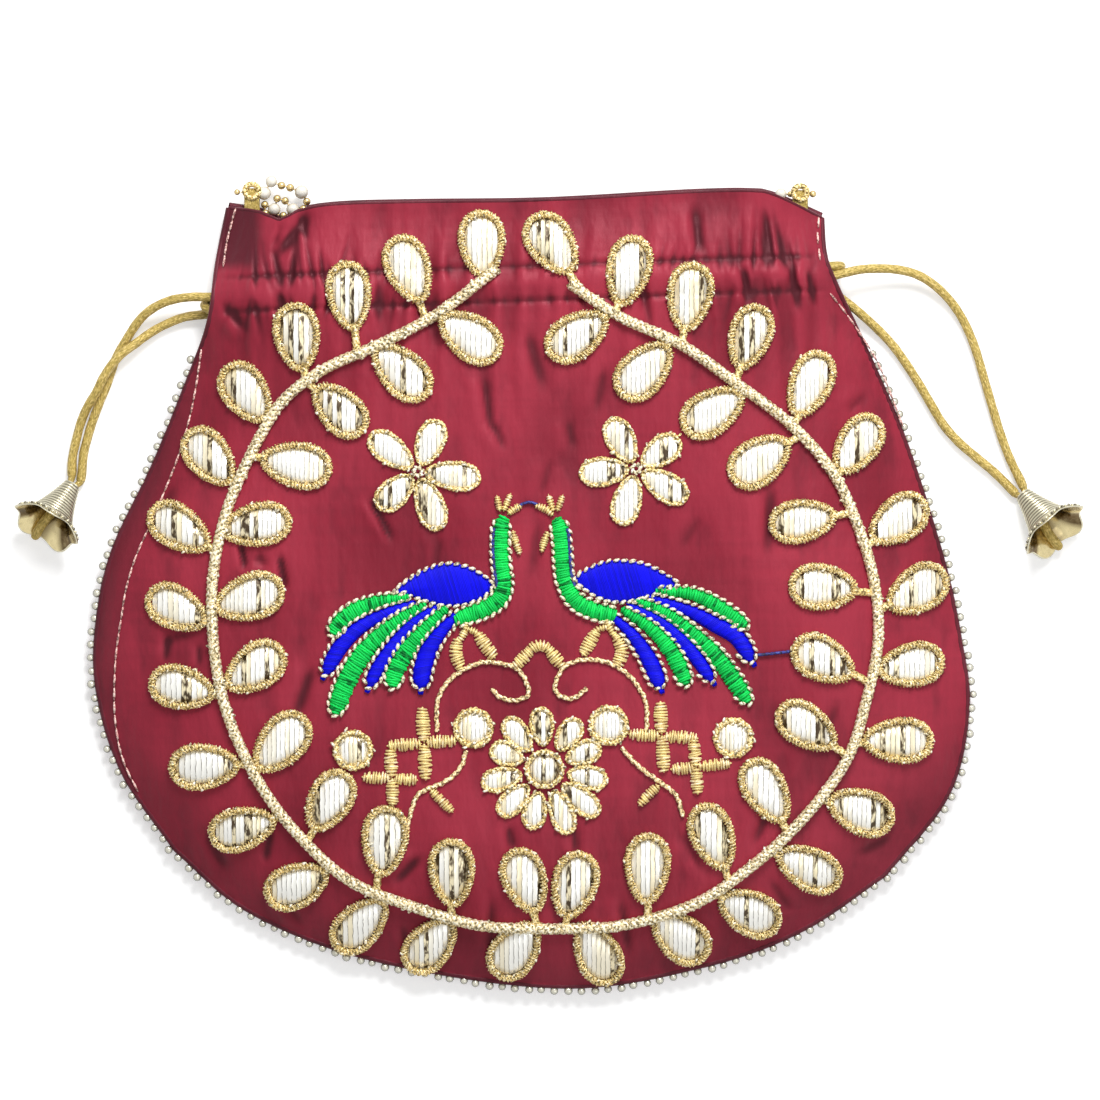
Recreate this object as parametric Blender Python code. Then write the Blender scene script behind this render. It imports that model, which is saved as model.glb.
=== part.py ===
"""Potli bag: a drawstring pouch of maroon silk with gold leaf applique, lying on its back.

+Z is up, +Y points to the mouth and +X to the right. The origin is on the flat underside of
the back panel. Lengths are in metres, and UNIT_X and UNIT_Y are the pattern's own unit, one
millimetre on a bag of the width and height given here. Routes of the cords are in millimetres.
"""
import math

import bmesh
import bpy
import numpy as np
from mathutils import Matrix, Vector

MM = 0.001

# Bag
BAG_WIDTH = 0.240
BAG_HEIGHT = 0.219
BODY_THICKNESS = 0.0185
CASING_THICKNESS = 0.0175
LIP_THICKNESS = 0.0140
SEAM_HEIGHT = 0.0035
SEAM_SPREAD = 0.0010
SIDE_SLIT_LIFT = 0.0062
BODY_EDGE_ROUND = 0.055
MOUTH_EDGE_ROUND = 0.030
BACK_EDGE_ROUND = 0.018
PANEL_CLOTH = 0.0006
LINING_CLOTH = 0.0004
LINING_GAP = 0.0008
LINING_INSET = 0.009
CLEARANCE = 0.00035

# Casing and gathers
CASING_FROM_ORIGIN = 0.0824
CASING_RISE = 0.0515
CASING_HEIGHT = 0.014
SIDE_SLIT_LENGTH = 0.0105
GATHER_DEPTH = 0.0010
GATHER_PITCH = 0.0125
GATHER_REACH_UP = 0.016
GATHER_REACH_DOWN = 0.026
GATHER_FADE = 0.010
TUNNEL_CLEARANCE = 0.00055
CORD_CROSSING_REACH = 0.014
CORD_CROSSING_FADE = 0.012

# Applique and embroidery
APPLIQUE_GAP = 0.00045
LEAF_WIDTH = 0.0118
LEAF_REACH = 0.009
LEAF_PADDING = 0.0017
STEM_WIDTH = 0.0030
STEM_HEIGHT = 0.0016
LEAF_SWEEP = 0.004
DISC_RADIUS = 0.0057
PETAL_WIDTH = 0.0068
CENTRE_PETAL_WIDTH = 0.0058
THREAD_HEIGHT = 0.0011
SATIN_HEIGHT = 0.0013

# Cords, bells and beads
CORD_DIAMETER = 0.0025
BELL_LENGTH = 0.0155
BELL_MOUTH_RADIUS = 0.0105
BELL_NECK_RADIUS = 0.00225
BELL_WALL = 0.0006
BELL_LOBES = 5
BELL_SCALLOP = 0.14
KNOT_RADIUS = 0.0024
SHANK_BEHIND_NECK = 0.0010
EDGE_BEAD_DIAMETER = 0.0022
EDGE_BEAD_PITCH = 0.00365
THREAD_DIAMETER = 0.0007
PEARL_DIAMETER = 0.0038
GOLD_BEAD_DIAMETER = 0.0024
TAB_WIDTH = 0.0042
TAB_CLOTH = 0.0005
HANDLE_DROP = 0.0006

UNIT_X = BAG_WIDTH / 240
UNIT_Y = BAG_HEIGHT / 219

# Outline in pattern units, from the lip's left corner down the left side
LEFT_SIDE = (
    (-83.9, 105.0), (-86.9, 89.8), (-88.8, 74.4), (-94.6, 58.4), (-104.3, 34.4),
    (-115.6, 10.5), (-120.0, -9.1), (-120.0, -28.1), (-113.1, -50.7), (-98.5, -72.2),
)
BOTTOM = (
    (-98.5, -72.2), (-77.8, -89.3), (-43.4, -102.5), (7.6, -109.9), (46.1, -104.4),
    (73.7, -94.6), (97.1, -79.1),
)
RIGHT_SIDE = (
    (97.1, -79.1), (114.5, -57.0), (120.0, -33.6), (117.8, -14.0), (113.1, 7.7),
    (102.6, 40.8), (90.8, 68.3), (84.2, 82.1), (80.6, 91.0), (79.8, 102.2),
)
LIP = (
    (-83.9, 105.0), (-75.1, 103.6), (-69.3, 101.1), (-64.1, 103.9), (-53.0, 105.5),
    (-32.1, 106.1), (3.7, 106.6), (43.4, 108.8), (60.5, 109.1), (66.8, 108.0),
    (79.8, 102.2),
)

# Rows of the panels, as fractions of the way from the bottom seam to the lip
FRONT_ROWS = (
    0, 0.03, 0.07, 0.13, 0.21, 0.31, 0.42, 0.53, 0.63, 0.72, 0.79, 0.845, 0.89, 0.925,
    0.96, 1,
)
BACK_ROWS = (0, 0.05, 0.12, 0.24, 0.4, 0.57, 0.7, 0.79, 0.83, 0.86, 0.89, 0.92, 0.955, 1)
LINING_ROWS = (0, 0.06, 0.15, 0.3, 0.5, 0.68, 0.77, 0.81, 0.84, 0.87, 0.9, 0.93, 0.96, 1)
FRONT_COLUMNS = 48
BACK_COLUMNS = 20
LINING_COLUMNS = 18

# Wreath in pattern units: two stems, and the middle of each leaf
STEMS = {
    "left": (
        (-9.8, 87.6), (-26.3, 75.2), (-42.0, 66.9), (-57.2, 60.1), (-68.2, 51.8),
        (-74.5, 42.2), (-80.6, 29.8), (-84.7, 18.7), (-87.5, 5.0), (-88.0, -8.8),
        (-86.1, -25.3), (-82.0, -39.1), (-74.5, -54.3), (-64.1, -68.0), (-50.3, -80.4),
        (-33.7, -87.3), (-14.5, -92.8), (4.6, -93.7),
    ),
    "right": (
        (10.3, 83.5), (24.1, 74.4), (40.6, 66.9), (54.4, 57.3), (70.9, 44.9),
        (82.0, 32.5), (88.8, 18.7), (93.8, 2.2), (94.9, -14.3), (91.6, -30.9),
        (86.1, -47.4), (73.7, -63.9), (58.5, -77.7), (43.4, -87.3), (24.1, -92.8),
        (7.8, -93.7),
    ),
}
LEAVES = {
    "left": (
        (-13.9, 94.5), (-34.0, 87.6), (-50.3, 80.2), (-64.6, 68.9), (-78.7, 53.7),
        (-88.8, 36.1), (-97.1, 16.5), (-97.7, -5.5), (-96.3, -27.3), (-90.2, -49.0),
        (-79.8, -66.1), (-64.9, -81.8), (-47.5, -92.8), (-28.2, -98.4), (-4.8, -99.7),
        (-17.2, 69.1), (-36.0, 59.5), (-53.0, 49.0), (-64.9, 33.9), (-75.9, 17.4),
        (-77.8, -2.5), (-76.2, -21.8), (-69.0, -42.4), (-55.8, -58.4), (-40.6, -69.4),
        (-22.2, -78.2), (-2.1, -80.4),
    ),
    "right": (
        (5.4, 94.5), (26.3, 87.1), (43.1, 79.9), (59.6, 68.9), (76.2, 55.9),
        (89.4, 39.4), (100.7, 18.7), (105.9, -0.6), (104.0, -21.2), (100.4, -41.9),
        (90.2, -61.4), (75.9, -77.1), (59.6, -89.3), (40.6, -96.1), (17.8, -100.6),
        (12.3, 69.4), (30.7, 59.8), (49.5, 48.5), (62.4, 35.0), (74.2, 18.5),
        (79.8, 0.3), (79.8, -19.6), (75.3, -38.0), (64.1, -55.7), (49.5, -68.3),
        (31.5, -77.1), (11.4, -81.6),
    ),
}

# Flowers and discs in pattern units
SMALL_FLOWERS = {
    "left": ((-31.4, 32.0), ((-28.2, 39.9), (-21.9, 30.9), (-28.2, 23.1), (-37.6, 26.4), (-38.7, 37.7))),
    "right": ((28.4, 32.8), ((24.4, 40.5), (35.1, 37.5), (36.2, 28.1), (26.0, 24.2), (19.7, 32.0))),
}
CENTRE_FLOWER = (3.3, -49.6)
CENTRE_FLOWER_PETALS = 11
CENTRE_FLOWER_REACH = 15.0
DISCS = {
    "disc_outer_left": (-49.2, -44.4), "disc_inner_left": (-16.2, -38.3),
    "disc_inner_right": (20.9, -37.6), "disc_outer_right": (55.1, -41.0),
}

# Peacocks in pattern units: each stroke is its route and its greatest width
PEACOCKS = {
    "left": {
        "body": (((-36.6, 0.0), (-30.5, 2.6), (-23.5, 3.2), (-16.5, 2.2), (-12.0, 0.6)), 8.8),
        "neck": (
            ((-7.8, 18.4), (-8.5, 11.8), (-8.4, 5.8), (-7.9, 0.8), (-9.5, -3.6),
             (-13.4, -6.2), (-20.8, -8.7)),
            3.9,
        ),
        "green_feather_1": (((-37.4, -3.2), (-42.0, -3.7), (-48.1, -5.8), (-54.4, -11.9)), 3.4),
        "blue_feather_1": (((-37.0, -5.4), (-41.2, -7.9), (-48.6, -11.6), (-53.6, -16.8), (-56.3, -22.5)), 3.6),
        "green_feather_2": (((-32.4, -5.9), (-38.4, -10.3), (-45.9, -17.3), (-50.8, -25.0), (-54.2, -33.2)), 3.4),
        "blue_feather_2": (((-27.8, -6.2), (-33.0, -9.8), (-38.8, -16.4), (-42.8, -22.8), (-44.6, -26.6)), 2.6),
        "green_feather_3": (((-24.6, -7.2), (-29.3, -11.4), (-34.3, -16.9), (-37.6, -22.8), (-38.0, -26.4)), 3.4),
        "blue_feather_3": (((-22.0, -8.6), (-25.6, -12.4), (-28.4, -17.0), (-30.1, -22.4), (-30.3, -26.4)), 3.8),
        "crest": (((-9.6, 25.2), (-8.9, 21.6)), 1.4),
        "beak": (((-5.9, 20.6), (-3.0, 22.3)), 1.4),
    },
    "right": {
        "body": (((12.6, 1.4), (17.5, 3.0), (24.0, 3.6), (31.0, 2.4), (38.6, 0.2)), 8.8),
        "neck": (
            ((7.0, 18.0), (8.0, 11.8), (8.4, 6.9), (9.2, 1.4), (12.1, -3.6),
             (17.5, -6.2), (22.7, -7.9)),
            3.9,
        ),
        "green_feather_1": (((36.8, -1.6), (43.1, -1.5), (50.4, -4.3), (58.0, -9.2)), 3.0),
        "blue_feather_1": (((36.8, -4.6), (43.1, -6.2), (50.0, -9.6), (56.1, -13.8), (59.1, -19.0)), 2.8),
        "green_feather_2": (((31.6, -4.6), (38.0, -8.0), (45.0, -13.3), (51.4, -19.6), (58.6, -30.4)), 2.8),
        "blue_feather_2": (((29.8, -6.6), (35.2, -9.7), (40.6, -14.4), (45.1, -19.8), (48.3, -24.6)), 2.2),
        "green_feather_3": (((27.4, -8.6), (33.0, -12.4), (37.8, -17.2), (40.7, -21.8), (42.0, -25.8)), 2.4),
        "blue_feather_3": (((24.2, -10.4), (27.4, -14.0), (30.9, -18.6), (33.1, -22.6), (34.5, -26.6)), 2.6),
        "crest": (((8.7, 25.0), (8.0, 21.4)), 1.4),
        "beak": (((5.0, 20.4), (2.4, 22.0)), 1.4),
    },
}

# Thread work in pattern units: strokes of one piece cross, so that they hold together
THREADS = {
    "scroll_left": (
        (((-26.1, -37.6), (-26.1, -31.4), (-23.8, -26.4), (-20.2, -23.1), (-16.1, -20.9),
          (-12.5, -20.2), (-8.4, -20.7), (-4.7, -21.8), (-2.3, -24.5), (-1.0, -28.7),
          (-2.9, -30.3), (-6.0, -30.7), (-9.2, -29.6), (-11.2, -27.5)), 1.6),
    ),
    "scroll_right": (
        (((31.3, -37.6), (31.3, -32.2), (29.5, -27.8), (26.3, -23.7), (21.6, -20.7),
          (17.2, -19.6), (12.5, -19.8), (8.4, -21.8), (6.2, -26.4), (6.8, -28.9),
          (9.8, -30.3), (12.5, -29.5), (14.2, -27.0)), 1.6),
    ),
    "scroll_peak": (
        (((-2.6, -19.4), (-1.5, -18.2), (1.8, -16.0), (4.8, -17.4), (6.4, -18.9)), 1.6),
    ),
    "hanging_leaves_left": (
        (((-18.9, -10.6), (-20.7, -15.4), (-19.7, -19.4)), 3.2),
        (((-21.2, -13.0), (-15.8, -13.4), (-11.2, -17.2)), 3.0),
    ),
    "hanging_leaves_right": (
        (((20.4, -9.6), (22.8, -15.2), (22.4, -19.8)), 3.0),
        (((22.4, -12.2), (17.8, -13.0), (14.0, -17.2)), 3.0),
    ),
    "cross_inner_left": (
        (((-30.2, -33.6), (-29.3, -51.8)), 1.8), (((-36.4, -43.0), (-23.6, -42.2)), 1.8),
    ),
    "cross_outer_left": (
        (((-39.0, -44.6), (-38.4, -59.0)), 1.8), (((-45.9, -51.8), (-32.6, -52.6)), 1.8),
    ),
    "cross_inner_right": (
        (((35.1, -32.0), (35.8, -46.6)), 1.8), (((28.4, -40.0), (42.4, -41.2)), 1.8),
    ),
    "cross_outer_right": (
        (((44.8, -43.4), (45.3, -55.7)), 1.8), (((38.8, -49.8), (52.4, -48.4)), 1.8),
    ),
    "sprig_left": (
        (((-18.6, -46.6), (-19.7, -49.0), (-23.8, -52.9), (-30.6, -56.2), (-33.2, -60.3),
          (-33.9, -64.2)), 1.4),
        (((-29.4, -55.0), (-26.2, -57.2), (-22.5, -60.9)), 1.6),
    ),
    "sprig_right": (
        (((24.9, -46.2), (29.3, -49.0), (35.7, -53.7), (39.5, -57.0), (41.2, -62.5)), 1.4),
        (((35.2, -53.2), (33.0, -55.6), (29.6, -59.0)), 1.6),
    ),
}

# Drawcord routes in millimetres, each from its bell round the casing and back to the bell.
# A height is a number, or the layer of the casing that the cord lies in there
FRONT, BACK, OVER = "front", "back", "over"
CORD_ROUTES = {
    "left": (
        (-125.04, 29.63, 1.3), (-124.6, 33.2, 1.3), (-124.2, 37.3, 1.3), (-123.2, 41.3, 1.3),
        (-122.2, 44.8, 1.3), (-121.0, 48.2, 1.3), (-119.8, 51.4, 1.3), (-118.2, 55.2, 1.3),
        (-116.9, 58.8, 1.3), (-116.0, 61.6, 1.3), (-114.8, 64.6, 1.3), (-113.0, 67.6, 1.5),
        (-111.3, 70.4, 2.0), (-109.3, 73.3, 2.7), (-106.7, 76.0, 3.6), (-103.2, 78.2, 4.6),
        (-99.3, 79.6, 5.6), (-94.4, 80.3, 6.5), (-88.6, 80.3, 7.2), (-83.0, 80.3, FRONT),
        (-72.0, 80.8, FRONT), (-60.0, 81.4, FRONT), (-44.0, 82.2, FRONT),
        (-28.0, 83.1, FRONT), (-12.0, 83.9, FRONT), (4.0, 84.7, FRONT), (20.0, 85.5, FRONT),
        (36.0, 86.4, FRONT), (50.0, 87.1, FRONT), (62.0, 87.7, FRONT), (72.0, 88.2, FRONT),
        (78.0, 88.6, FRONT), (81.5, 88.8, 7.8), (84.2, 88.9, 6.8), (85.2, 88.9, 5.0),
        (84.2, 88.9, 3.2), (81.0, 88.8, 2.5), (74.0, 88.3, BACK), (60.0, 87.6, BACK),
        (44.0, 86.8, BACK), (28.0, 85.9, BACK), (19.0, 85.4, BACK), (10.0, 84.6, 4.3),
        (4.0, 83.4, OVER), (-4.0, 81.4, OVER), (-10.0, 80.1, 4.3), (-19.0, 79.4, BACK),
        (-28.0, 78.9, BACK), (-44.0, 78.0, BACK), (-60.0, 77.2, BACK), (-74.0, 76.5, BACK),
        (-83.0, 75.9, BACK), (-89.3, 75.7, 2.2), (-96.3, 74.9, 1.8), (-102.1, 72.6, 1.7),
        (-105.9, 70.4, 2.2), (-109.8, 67.5, 3.2), (-113.6, 64.6, 4.0), (-116.4, 61.5, 4.1),
        (-118.7, 57.9, 4.1), (-120.6, 54.0, 3.9), (-122.5, 51.0, 3.1), (-123.8, 48.6, 2.4),
        (-125.2, 45.0, 1.5), (-126.2, 41.2, 1.3), (-127.1, 37.3, 1.3), (-127.5, 34.0, 1.3),
        (-127.45, 31.03, 1.3),
    ),
    "right": (
        (133.58, 26.06, 1.3), (130.6, 29.2, 1.3), (127.0, 32.6, 1.3), (122.4, 36.4, 1.3),
        (117.8, 40.4, 1.3), (113.6, 45.2, 1.3), (110.2, 50.8, 1.3), (106.8, 56.6, 1.3),
        (103.2, 62.2, 1.3), (99.8, 66.9, 1.3), (95.7, 71.3, 1.6), (90.6, 75.9, 2.6),
        (86.4, 79.2, 3.3), (82.4, 81.9, 3.2), (77.0, 84.0, BACK), (68.0, 84.1, BACK),
        (54.0, 83.2, BACK), (40.0, 82.4, BACK), (26.0, 81.6, BACK), (14.0, 81.2, BACK),
        (6.0, 81.8, BACK), (0.0, 82.4, BACK), (-6.0, 83.0, BACK), (-14.0, 83.6, BACK),
        (-26.0, 83.4, BACK), (-40.0, 82.4, BACK), (-56.0, 81.6, BACK), (-70.0, 80.8, BACK),
        (-80.0, 80.2, BACK), (-86.6, 79.9, 2.7), (-90.0, 79.0, 3.6), (-90.6, 77.9, 5.0),
        (-89.2, 76.8, 6.6), (-85.6, 76.0, 8.0), (-80.0, 76.1, FRONT), (-70.0, 76.7, FRONT),
        (-58.0, 77.3, FRONT), (-42.0, 78.1, FRONT), (-26.0, 79.0, FRONT), (-10.0, 79.8, FRONT),
        (6.0, 80.6, FRONT), (22.0, 81.4, FRONT), (38.0, 82.3, FRONT), (52.0, 83.0, FRONT),
        (64.0, 83.6, FRONT), (72.0, 84.1, FRONT), (77.6, 84.8, FRONT), (82.4, 86.0, 7.8),
        (86.4, 87.0, 7.0), (90.5, 87.9, 6.3), (95.7, 88.2, 5.5), (101.0, 87.9, 4.6),
        (106.2, 86.6, 3.6), (110.8, 83.9, 2.8), (114.9, 80.1, 2.0), (118.1, 75.8, 1.5),
        (120.6, 71.0, 1.3), (122.6, 65.8, 1.3), (124.2, 60.4, 1.3), (125.8, 54.8, 1.3),
        (127.5, 49.0, 1.3), (129.2, 43.4, 1.3), (131.1, 38.0, 1.3), (133.2, 33.2, 1.3),
        (134.8, 30.2, 1.3), (135.74, 27.86, 1.3),
    ),
}

# Each bell's neck, and the way along the floor from the neck to the mouth, in millimetres
BELLS = {
    "left": ((-127.5, 28.2), (-0.509, -0.861)),
    "right": ((135.8, 25.6), (0.640, -0.768)),
}

# Handle strand in pattern units, from the left tab through the pouch to the right tab
HANDLE_ROUTE = (
    (-82.6, 109.3), (-77.5, 109.3), (-73.4, 109.5), (-70.8, 110.9), (-67.6, 110.5),
    (-64.4, 108.6), (-62.2, 104.6), (-61.3, 98.0), (-60.8, 90.0), (-60.0, 80.0),
    (-58.6, 70.0), (-56.5, 60.0), (-52.0, 48.0), (-43.0, 36.0), (-28.0, 27.5),
    (-9.0, 24.0), (10.0, 24.0), (29.0, 27.5), (45.0, 36.0), (55.0, 48.0), (60.0, 62.0),
    (63.0, 74.0), (64.5, 83.0), (65.5, 93.0), (66.2, 101.0), (67.2, 106.6), (69.6, 109.0),
    (73.9, 108.8), (78.8, 108.8),
)
HANDLE_TABS = {"left": (-77.5, 109.3), "right": (73.9, 108.8)}
TAB_REACH_IN = 5.5


def clear_scene():
    for obj in list(bpy.data.objects):
        bpy.data.objects.remove(obj, do_unlink=True)


def material(name, colour, roughness, metallic=0.0):
    made = bpy.data.materials.new(name)
    made.use_nodes = True
    shader = made.node_tree.nodes["Principled BSDF"]
    shader.inputs["Base Color"].default_value = (*colour, 1.0)
    shader.inputs["Roughness"].default_value = roughness
    shader.inputs["Metallic"].default_value = metallic
    return made


def add_object(name, data, finish):
    obj = bpy.data.objects.new(name, data)
    data.materials.append(finish)
    bpy.context.scene.collection.objects.link(obj)
    return obj


def mesh_object(name, bm, finish):
    """An object from a bmesh whose faces are turned outwards."""
    bmesh.ops.recalc_face_normals(bm, faces=bm.faces)
    mesh = bpy.data.meshes.new(name)
    bm.to_mesh(mesh)
    bm.free()
    return add_object(name, mesh, finish)


def smooth_curve(points, step):
    """Points at an even step along a Catmull-Rom curve through the given ones."""
    given = np.array(points, float)
    ends = np.vstack([2 * given[0] - given[1], given, 2 * given[-1] - given[-2]])
    t = np.linspace(0, 1, 13)[:-1, None]
    fine = []
    for before, start, stop, after in zip(ends, ends[1:], ends[2:], ends[3:]):
        slope_in = (stop - before) / 2
        slope_out = (after - start) / 2
        fine.append(
            (2 * t**3 - 3 * t**2 + 1) * start
            + (t**3 - 2 * t**2 + t) * slope_in
            + (3 * t**2 - 2 * t**3) * stop
            + (t**3 - t**2) * slope_out
        )
    line = np.vstack([*fine, given[-1:]])
    run = np.concatenate([[0], np.cumsum(np.linalg.norm(np.diff(line, axis=0), axis=1))])
    count = max(2, round(run[-1] / step) + 1)
    at = np.linspace(0, run[-1], count)
    return np.column_stack([np.interp(at, run, line[:, k]) for k in range(line.shape[1])])


def to_metres(points):
    return np.array(points, float) * (UNIT_X, UNIT_Y)


def smoothstep(low, high, value):
    t = np.clip((value - low) / (high - low), 0, 1)
    return t * t * (3 - 2 * t)


OUTLINE_STEP = 0.003
SIDES = {
    "left": smooth_curve(to_metres(LEFT_SIDE), OUTLINE_STEP)[::-1],
    "right": smooth_curve(to_metres(RIGHT_SIDE), OUTLINE_STEP),
    "bottom": smooth_curve(to_metres(BOTTOM), OUTLINE_STEP),
    "lip": smooth_curve(to_metres(LIP), OUTLINE_STEP),
}
SEAM = np.vstack([SIDES["left"][::-1], SIDES["bottom"][1:-1], SIDES["right"]])


def seam_distance(x, y):
    """How far each point is from the sewn edge, the mouth apart."""
    points = np.column_stack([x, y])[:, None]
    start = SEAM[:-1][None]
    along = (SEAM[1:] - SEAM[:-1])[None]
    t = ((points - start) * along).sum(2) / (along**2).sum(2)
    nearest = start + np.clip(t, 0, 1)[..., None] * along
    return np.linalg.norm(points - nearest, axis=2).min(1)


def above_casing(x, y):
    """Distance above the middle line of the casing, towards the lip."""
    return y - CASING_FROM_ORIGIN - CASING_RISE * x


def slit_opening(x, y):
    return np.exp(-((above_casing(x, y) / SIDE_SLIT_LENGTH) ** 2))


def edge_rise(distance, reach):
    """From 0 at the seam to 1 where the cloth is level."""
    return 1 - (1 - np.clip(distance / reach, 0, 1)) ** 2.5


def front_height(x, y):
    """Height of the front panel's outside, without its gathers."""
    s = above_casing(x, y)
    to_casing = smoothstep(-0.060, 0, s)
    to_lip = smoothstep(0, 0.024, s)
    crown = BODY_THICKNESS + (CASING_THICKNESS - BODY_THICKNESS) * to_casing
    crown = crown + (LIP_THICKNESS - CASING_THICKNESS) * to_lip
    reach = BODY_EDGE_ROUND + (MOUTH_EDGE_ROUND - BODY_EDGE_ROUND) * smoothstep(-0.050, 0, s)
    edge = SEAM_HEIGHT + SEAM_SPREAD + SIDE_SLIT_LIFT * slit_opening(x, y)
    return edge + (crown - edge) * edge_rise(seam_distance(x, y), reach)


def gather_depth(x, y):
    """How far the gathers reach above and below the front's mean height."""
    s = above_casing(x, y)
    reach = np.where(s > 0, GATHER_REACH_UP, GATHER_REACH_DOWN)
    fade = np.clip(seam_distance(x, y) / GATHER_FADE, 0, 1)
    return GATHER_DEPTH * fade * np.exp(-((s / reach) ** 2))


def gathered_front(x, y):
    waves = np.cos(2 * math.pi * x / GATHER_PITCH)
    return front_height(x, y) + gather_depth(x, y) * waves


def back_height(x, y):
    """Height of the back panel's outside: flat on the ground, rising to the seam."""
    edge = (SEAM_HEIGHT - SEAM_SPREAD) * (1 - slit_opening(x, y))
    return edge * (1 - np.clip(seam_distance(x, y) / BACK_EDGE_ROUND, 0, 1)) ** 2


def tunnel(x, y):
    """Room that the lining leaves for one layer of cord along the casing."""
    s = np.abs(above_casing(x, y))
    width = smoothstep(CASING_HEIGHT + 0.001, CASING_HEIGHT - 0.005, s)
    return width * (CORD_DIAMETER + 2 * TUNNEL_CLEARANCE - LINING_GAP)


def front_layer(x, y):
    """Height of a cord's middle between the front panel and its lining."""
    under = front_height(x, y) - gather_depth(x, y) - PANEL_CLOTH
    return under - TUNNEL_CLEARANCE - CORD_DIAMETER / 2


def back_layer(x, y):
    return back_height(x, y) + PANEL_CLOTH + TUNNEL_CLEARANCE + CORD_DIAMETER / 2


def lining_front_height(x, y):
    outside = front_height(x, y) - gather_depth(x, y)
    return outside - PANEL_CLOTH - LINING_GAP - tunnel(x, y)


def lining_back_height(x, y):
    crossing = smoothstep(CORD_CROSSING_REACH + CORD_CROSSING_FADE, CORD_CROSSING_REACH, np.abs(x))
    s = np.abs(above_casing(x, y))
    crossing = crossing * smoothstep(CASING_HEIGHT + 0.001, CASING_HEIGHT - 0.005, s)
    room = tunnel(x, y) + crossing * (CORD_DIAMETER + 2 * CLEARANCE)
    return back_height(x, y) + PANEL_CLOTH + LINING_GAP + room


def along_side(name, t):
    line = SIDES[name]
    at = t * (len(line) - 1)
    return np.column_stack([np.interp(at, np.arange(len(line)), line[:, k]) for k in (0, 1)])


def panel_point(u, v):
    """Coons patch: u runs from the left seam to the right, v from the bottom to the lip."""
    across = (1 - v)[:, None] * along_side("bottom", u) + v[:, None] * along_side("lip", u)
    up = (1 - u)[:, None] * along_side("left", v) + u[:, None] * along_side("right", v)
    corners = 0
    for share, side, end in (
        ((1 - u) * (1 - v), "left", 0), (u * (1 - v), "right", 0),
        ((1 - u) * v, "left", -1), (u * v, "right", -1),
    ):
        corners = corners + share[:, None] * SIDES[side][end]
    return across + up - corners


def cloth_panel(name, height, finish, cloth, columns, rows, faces_up, inset=0.0):
    """A sheet over the bag's outline at the given height, thickened towards the inside."""
    bm = bmesh.new()
    bmesh.ops.create_grid(bm, x_segments=columns, y_segments=len(rows) - 1, size=0.5)
    place = np.array([v.co for v in bm.verts])
    t = place[:, 0] + 0.5
    u = t - 0.35 * np.sin(2 * math.pi * t) / (2 * math.pi)
    u = inset / BAG_WIDTH + u * (1 - 2 * inset / BAG_WIDTH)
    v = np.array(rows)[np.round((place[:, 1] + 0.5) * (len(rows) - 1)).astype(int)]
    v = inset / BAG_HEIGHT + v * (1 - 1.1 * inset / BAG_HEIGHT)
    x, y = panel_point(u, v).T
    z = height(x, y)
    for vert, spot in zip(bm.verts, zip(x, y, z)):
        vert.co = spot
    if not faces_up:
        bmesh.ops.reverse_faces(bm, faces=bm.faces)
    mesh = bpy.data.meshes.new(name)
    bm.to_mesh(mesh)
    bm.free()
    mesh.shade_smooth()
    obj = add_object(name, mesh, finish)
    thick = obj.modifiers.new("Cloth", "SOLIDIFY")
    thick.thickness = cloth
    thick.offset = -1
    return obj


def on_front(points, lift):
    """Points at a lift above whatever the front's gathers reach."""
    flat = np.array(points, float)
    x, y = flat[:, 0], flat[:, 1]
    return front_height(x, y) + gather_depth(x, y) + APPLIQUE_GAP + lift


def add_stroke(bm, route, widths, height):
    """A raised line of thread with pointed ends: a diamond section along a route."""
    ahead = np.gradient(route, axis=0)
    ahead /= np.linalg.norm(ahead, axis=1)[:, None]
    aside = np.column_stack([-ahead[:, 1], ahead[:, 0]])
    left = route + aside * widths[:, None] / 2
    right = route - aside * widths[:, None] / 2
    columns = (
        (left, on_front(left, 0.4 * height)), (route, on_front(route, height)),
        (right, on_front(right, 0.4 * height)), (route, on_front(route, 0)),
    )
    rings = []
    for i in range(1, len(route) - 1):
        rings.append([bm.verts.new((*flat[i], z[i])) for flat, z in columns])
    tips = [bm.verts.new((*route[i], on_front(route[[i]], 0.4 * height)[0])) for i in (0, -1)]
    for ring, after in zip(rings, rings[1:]):
        for k in range(4):
            bm.faces.new((ring[k], ring[k - 1], after[k - 1], after[k]))
    for tip, ring, turn in ((tips[0], rings[0], 1), (tips[1], rings[-1], -1)):
        for k in range(4):
            bm.faces.new((tip, ring[k - 1], ring[k])[::turn])


def stroke_widths(count, width, blunt=0.45):
    """Full in the middle and narrower towards both ends."""
    t = np.linspace(-1, 1, count)
    return width * (blunt + (1 - blunt) * np.sqrt(1 - np.abs(t) ** 3))


def add_pad(bm, tip, middle, width, height, rise=0.4):
    """A padded leaf: its narrow end is at tip, and it is widest just past the middle."""
    tip, middle = np.array(tip), np.array(middle)
    ahead = middle - tip
    half = np.linalg.norm(ahead)
    ahead = ahead / half
    aside = np.array((-ahead[1], ahead[0])) * width / 2
    reach = min(half, LEAF_REACH)
    profile = ((-0.62, 0.62), (0.1, 1.0), (0.68, 0.72))
    ring = [tip]
    ring += [middle + ahead * reach * a + aside * b for a, b in profile]
    ring += [middle + ahead * reach]
    ring += [middle + ahead * reach * a - aside * b for a, b in reversed(profile)]
    ring = np.array(ring)
    edge = [bm.verts.new((*p, z)) for p, z in zip(ring, on_front(ring, rise * height))]
    top = bm.verts.new((*middle, on_front([middle], height)[0]))
    under = bm.verts.new((*middle, on_front([middle], 0)[0]))
    for a, b in zip(edge, edge[1:] + edge[:1]):
        bm.faces.new((a, b, under))
        bm.faces.new((b, a, top))


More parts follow.
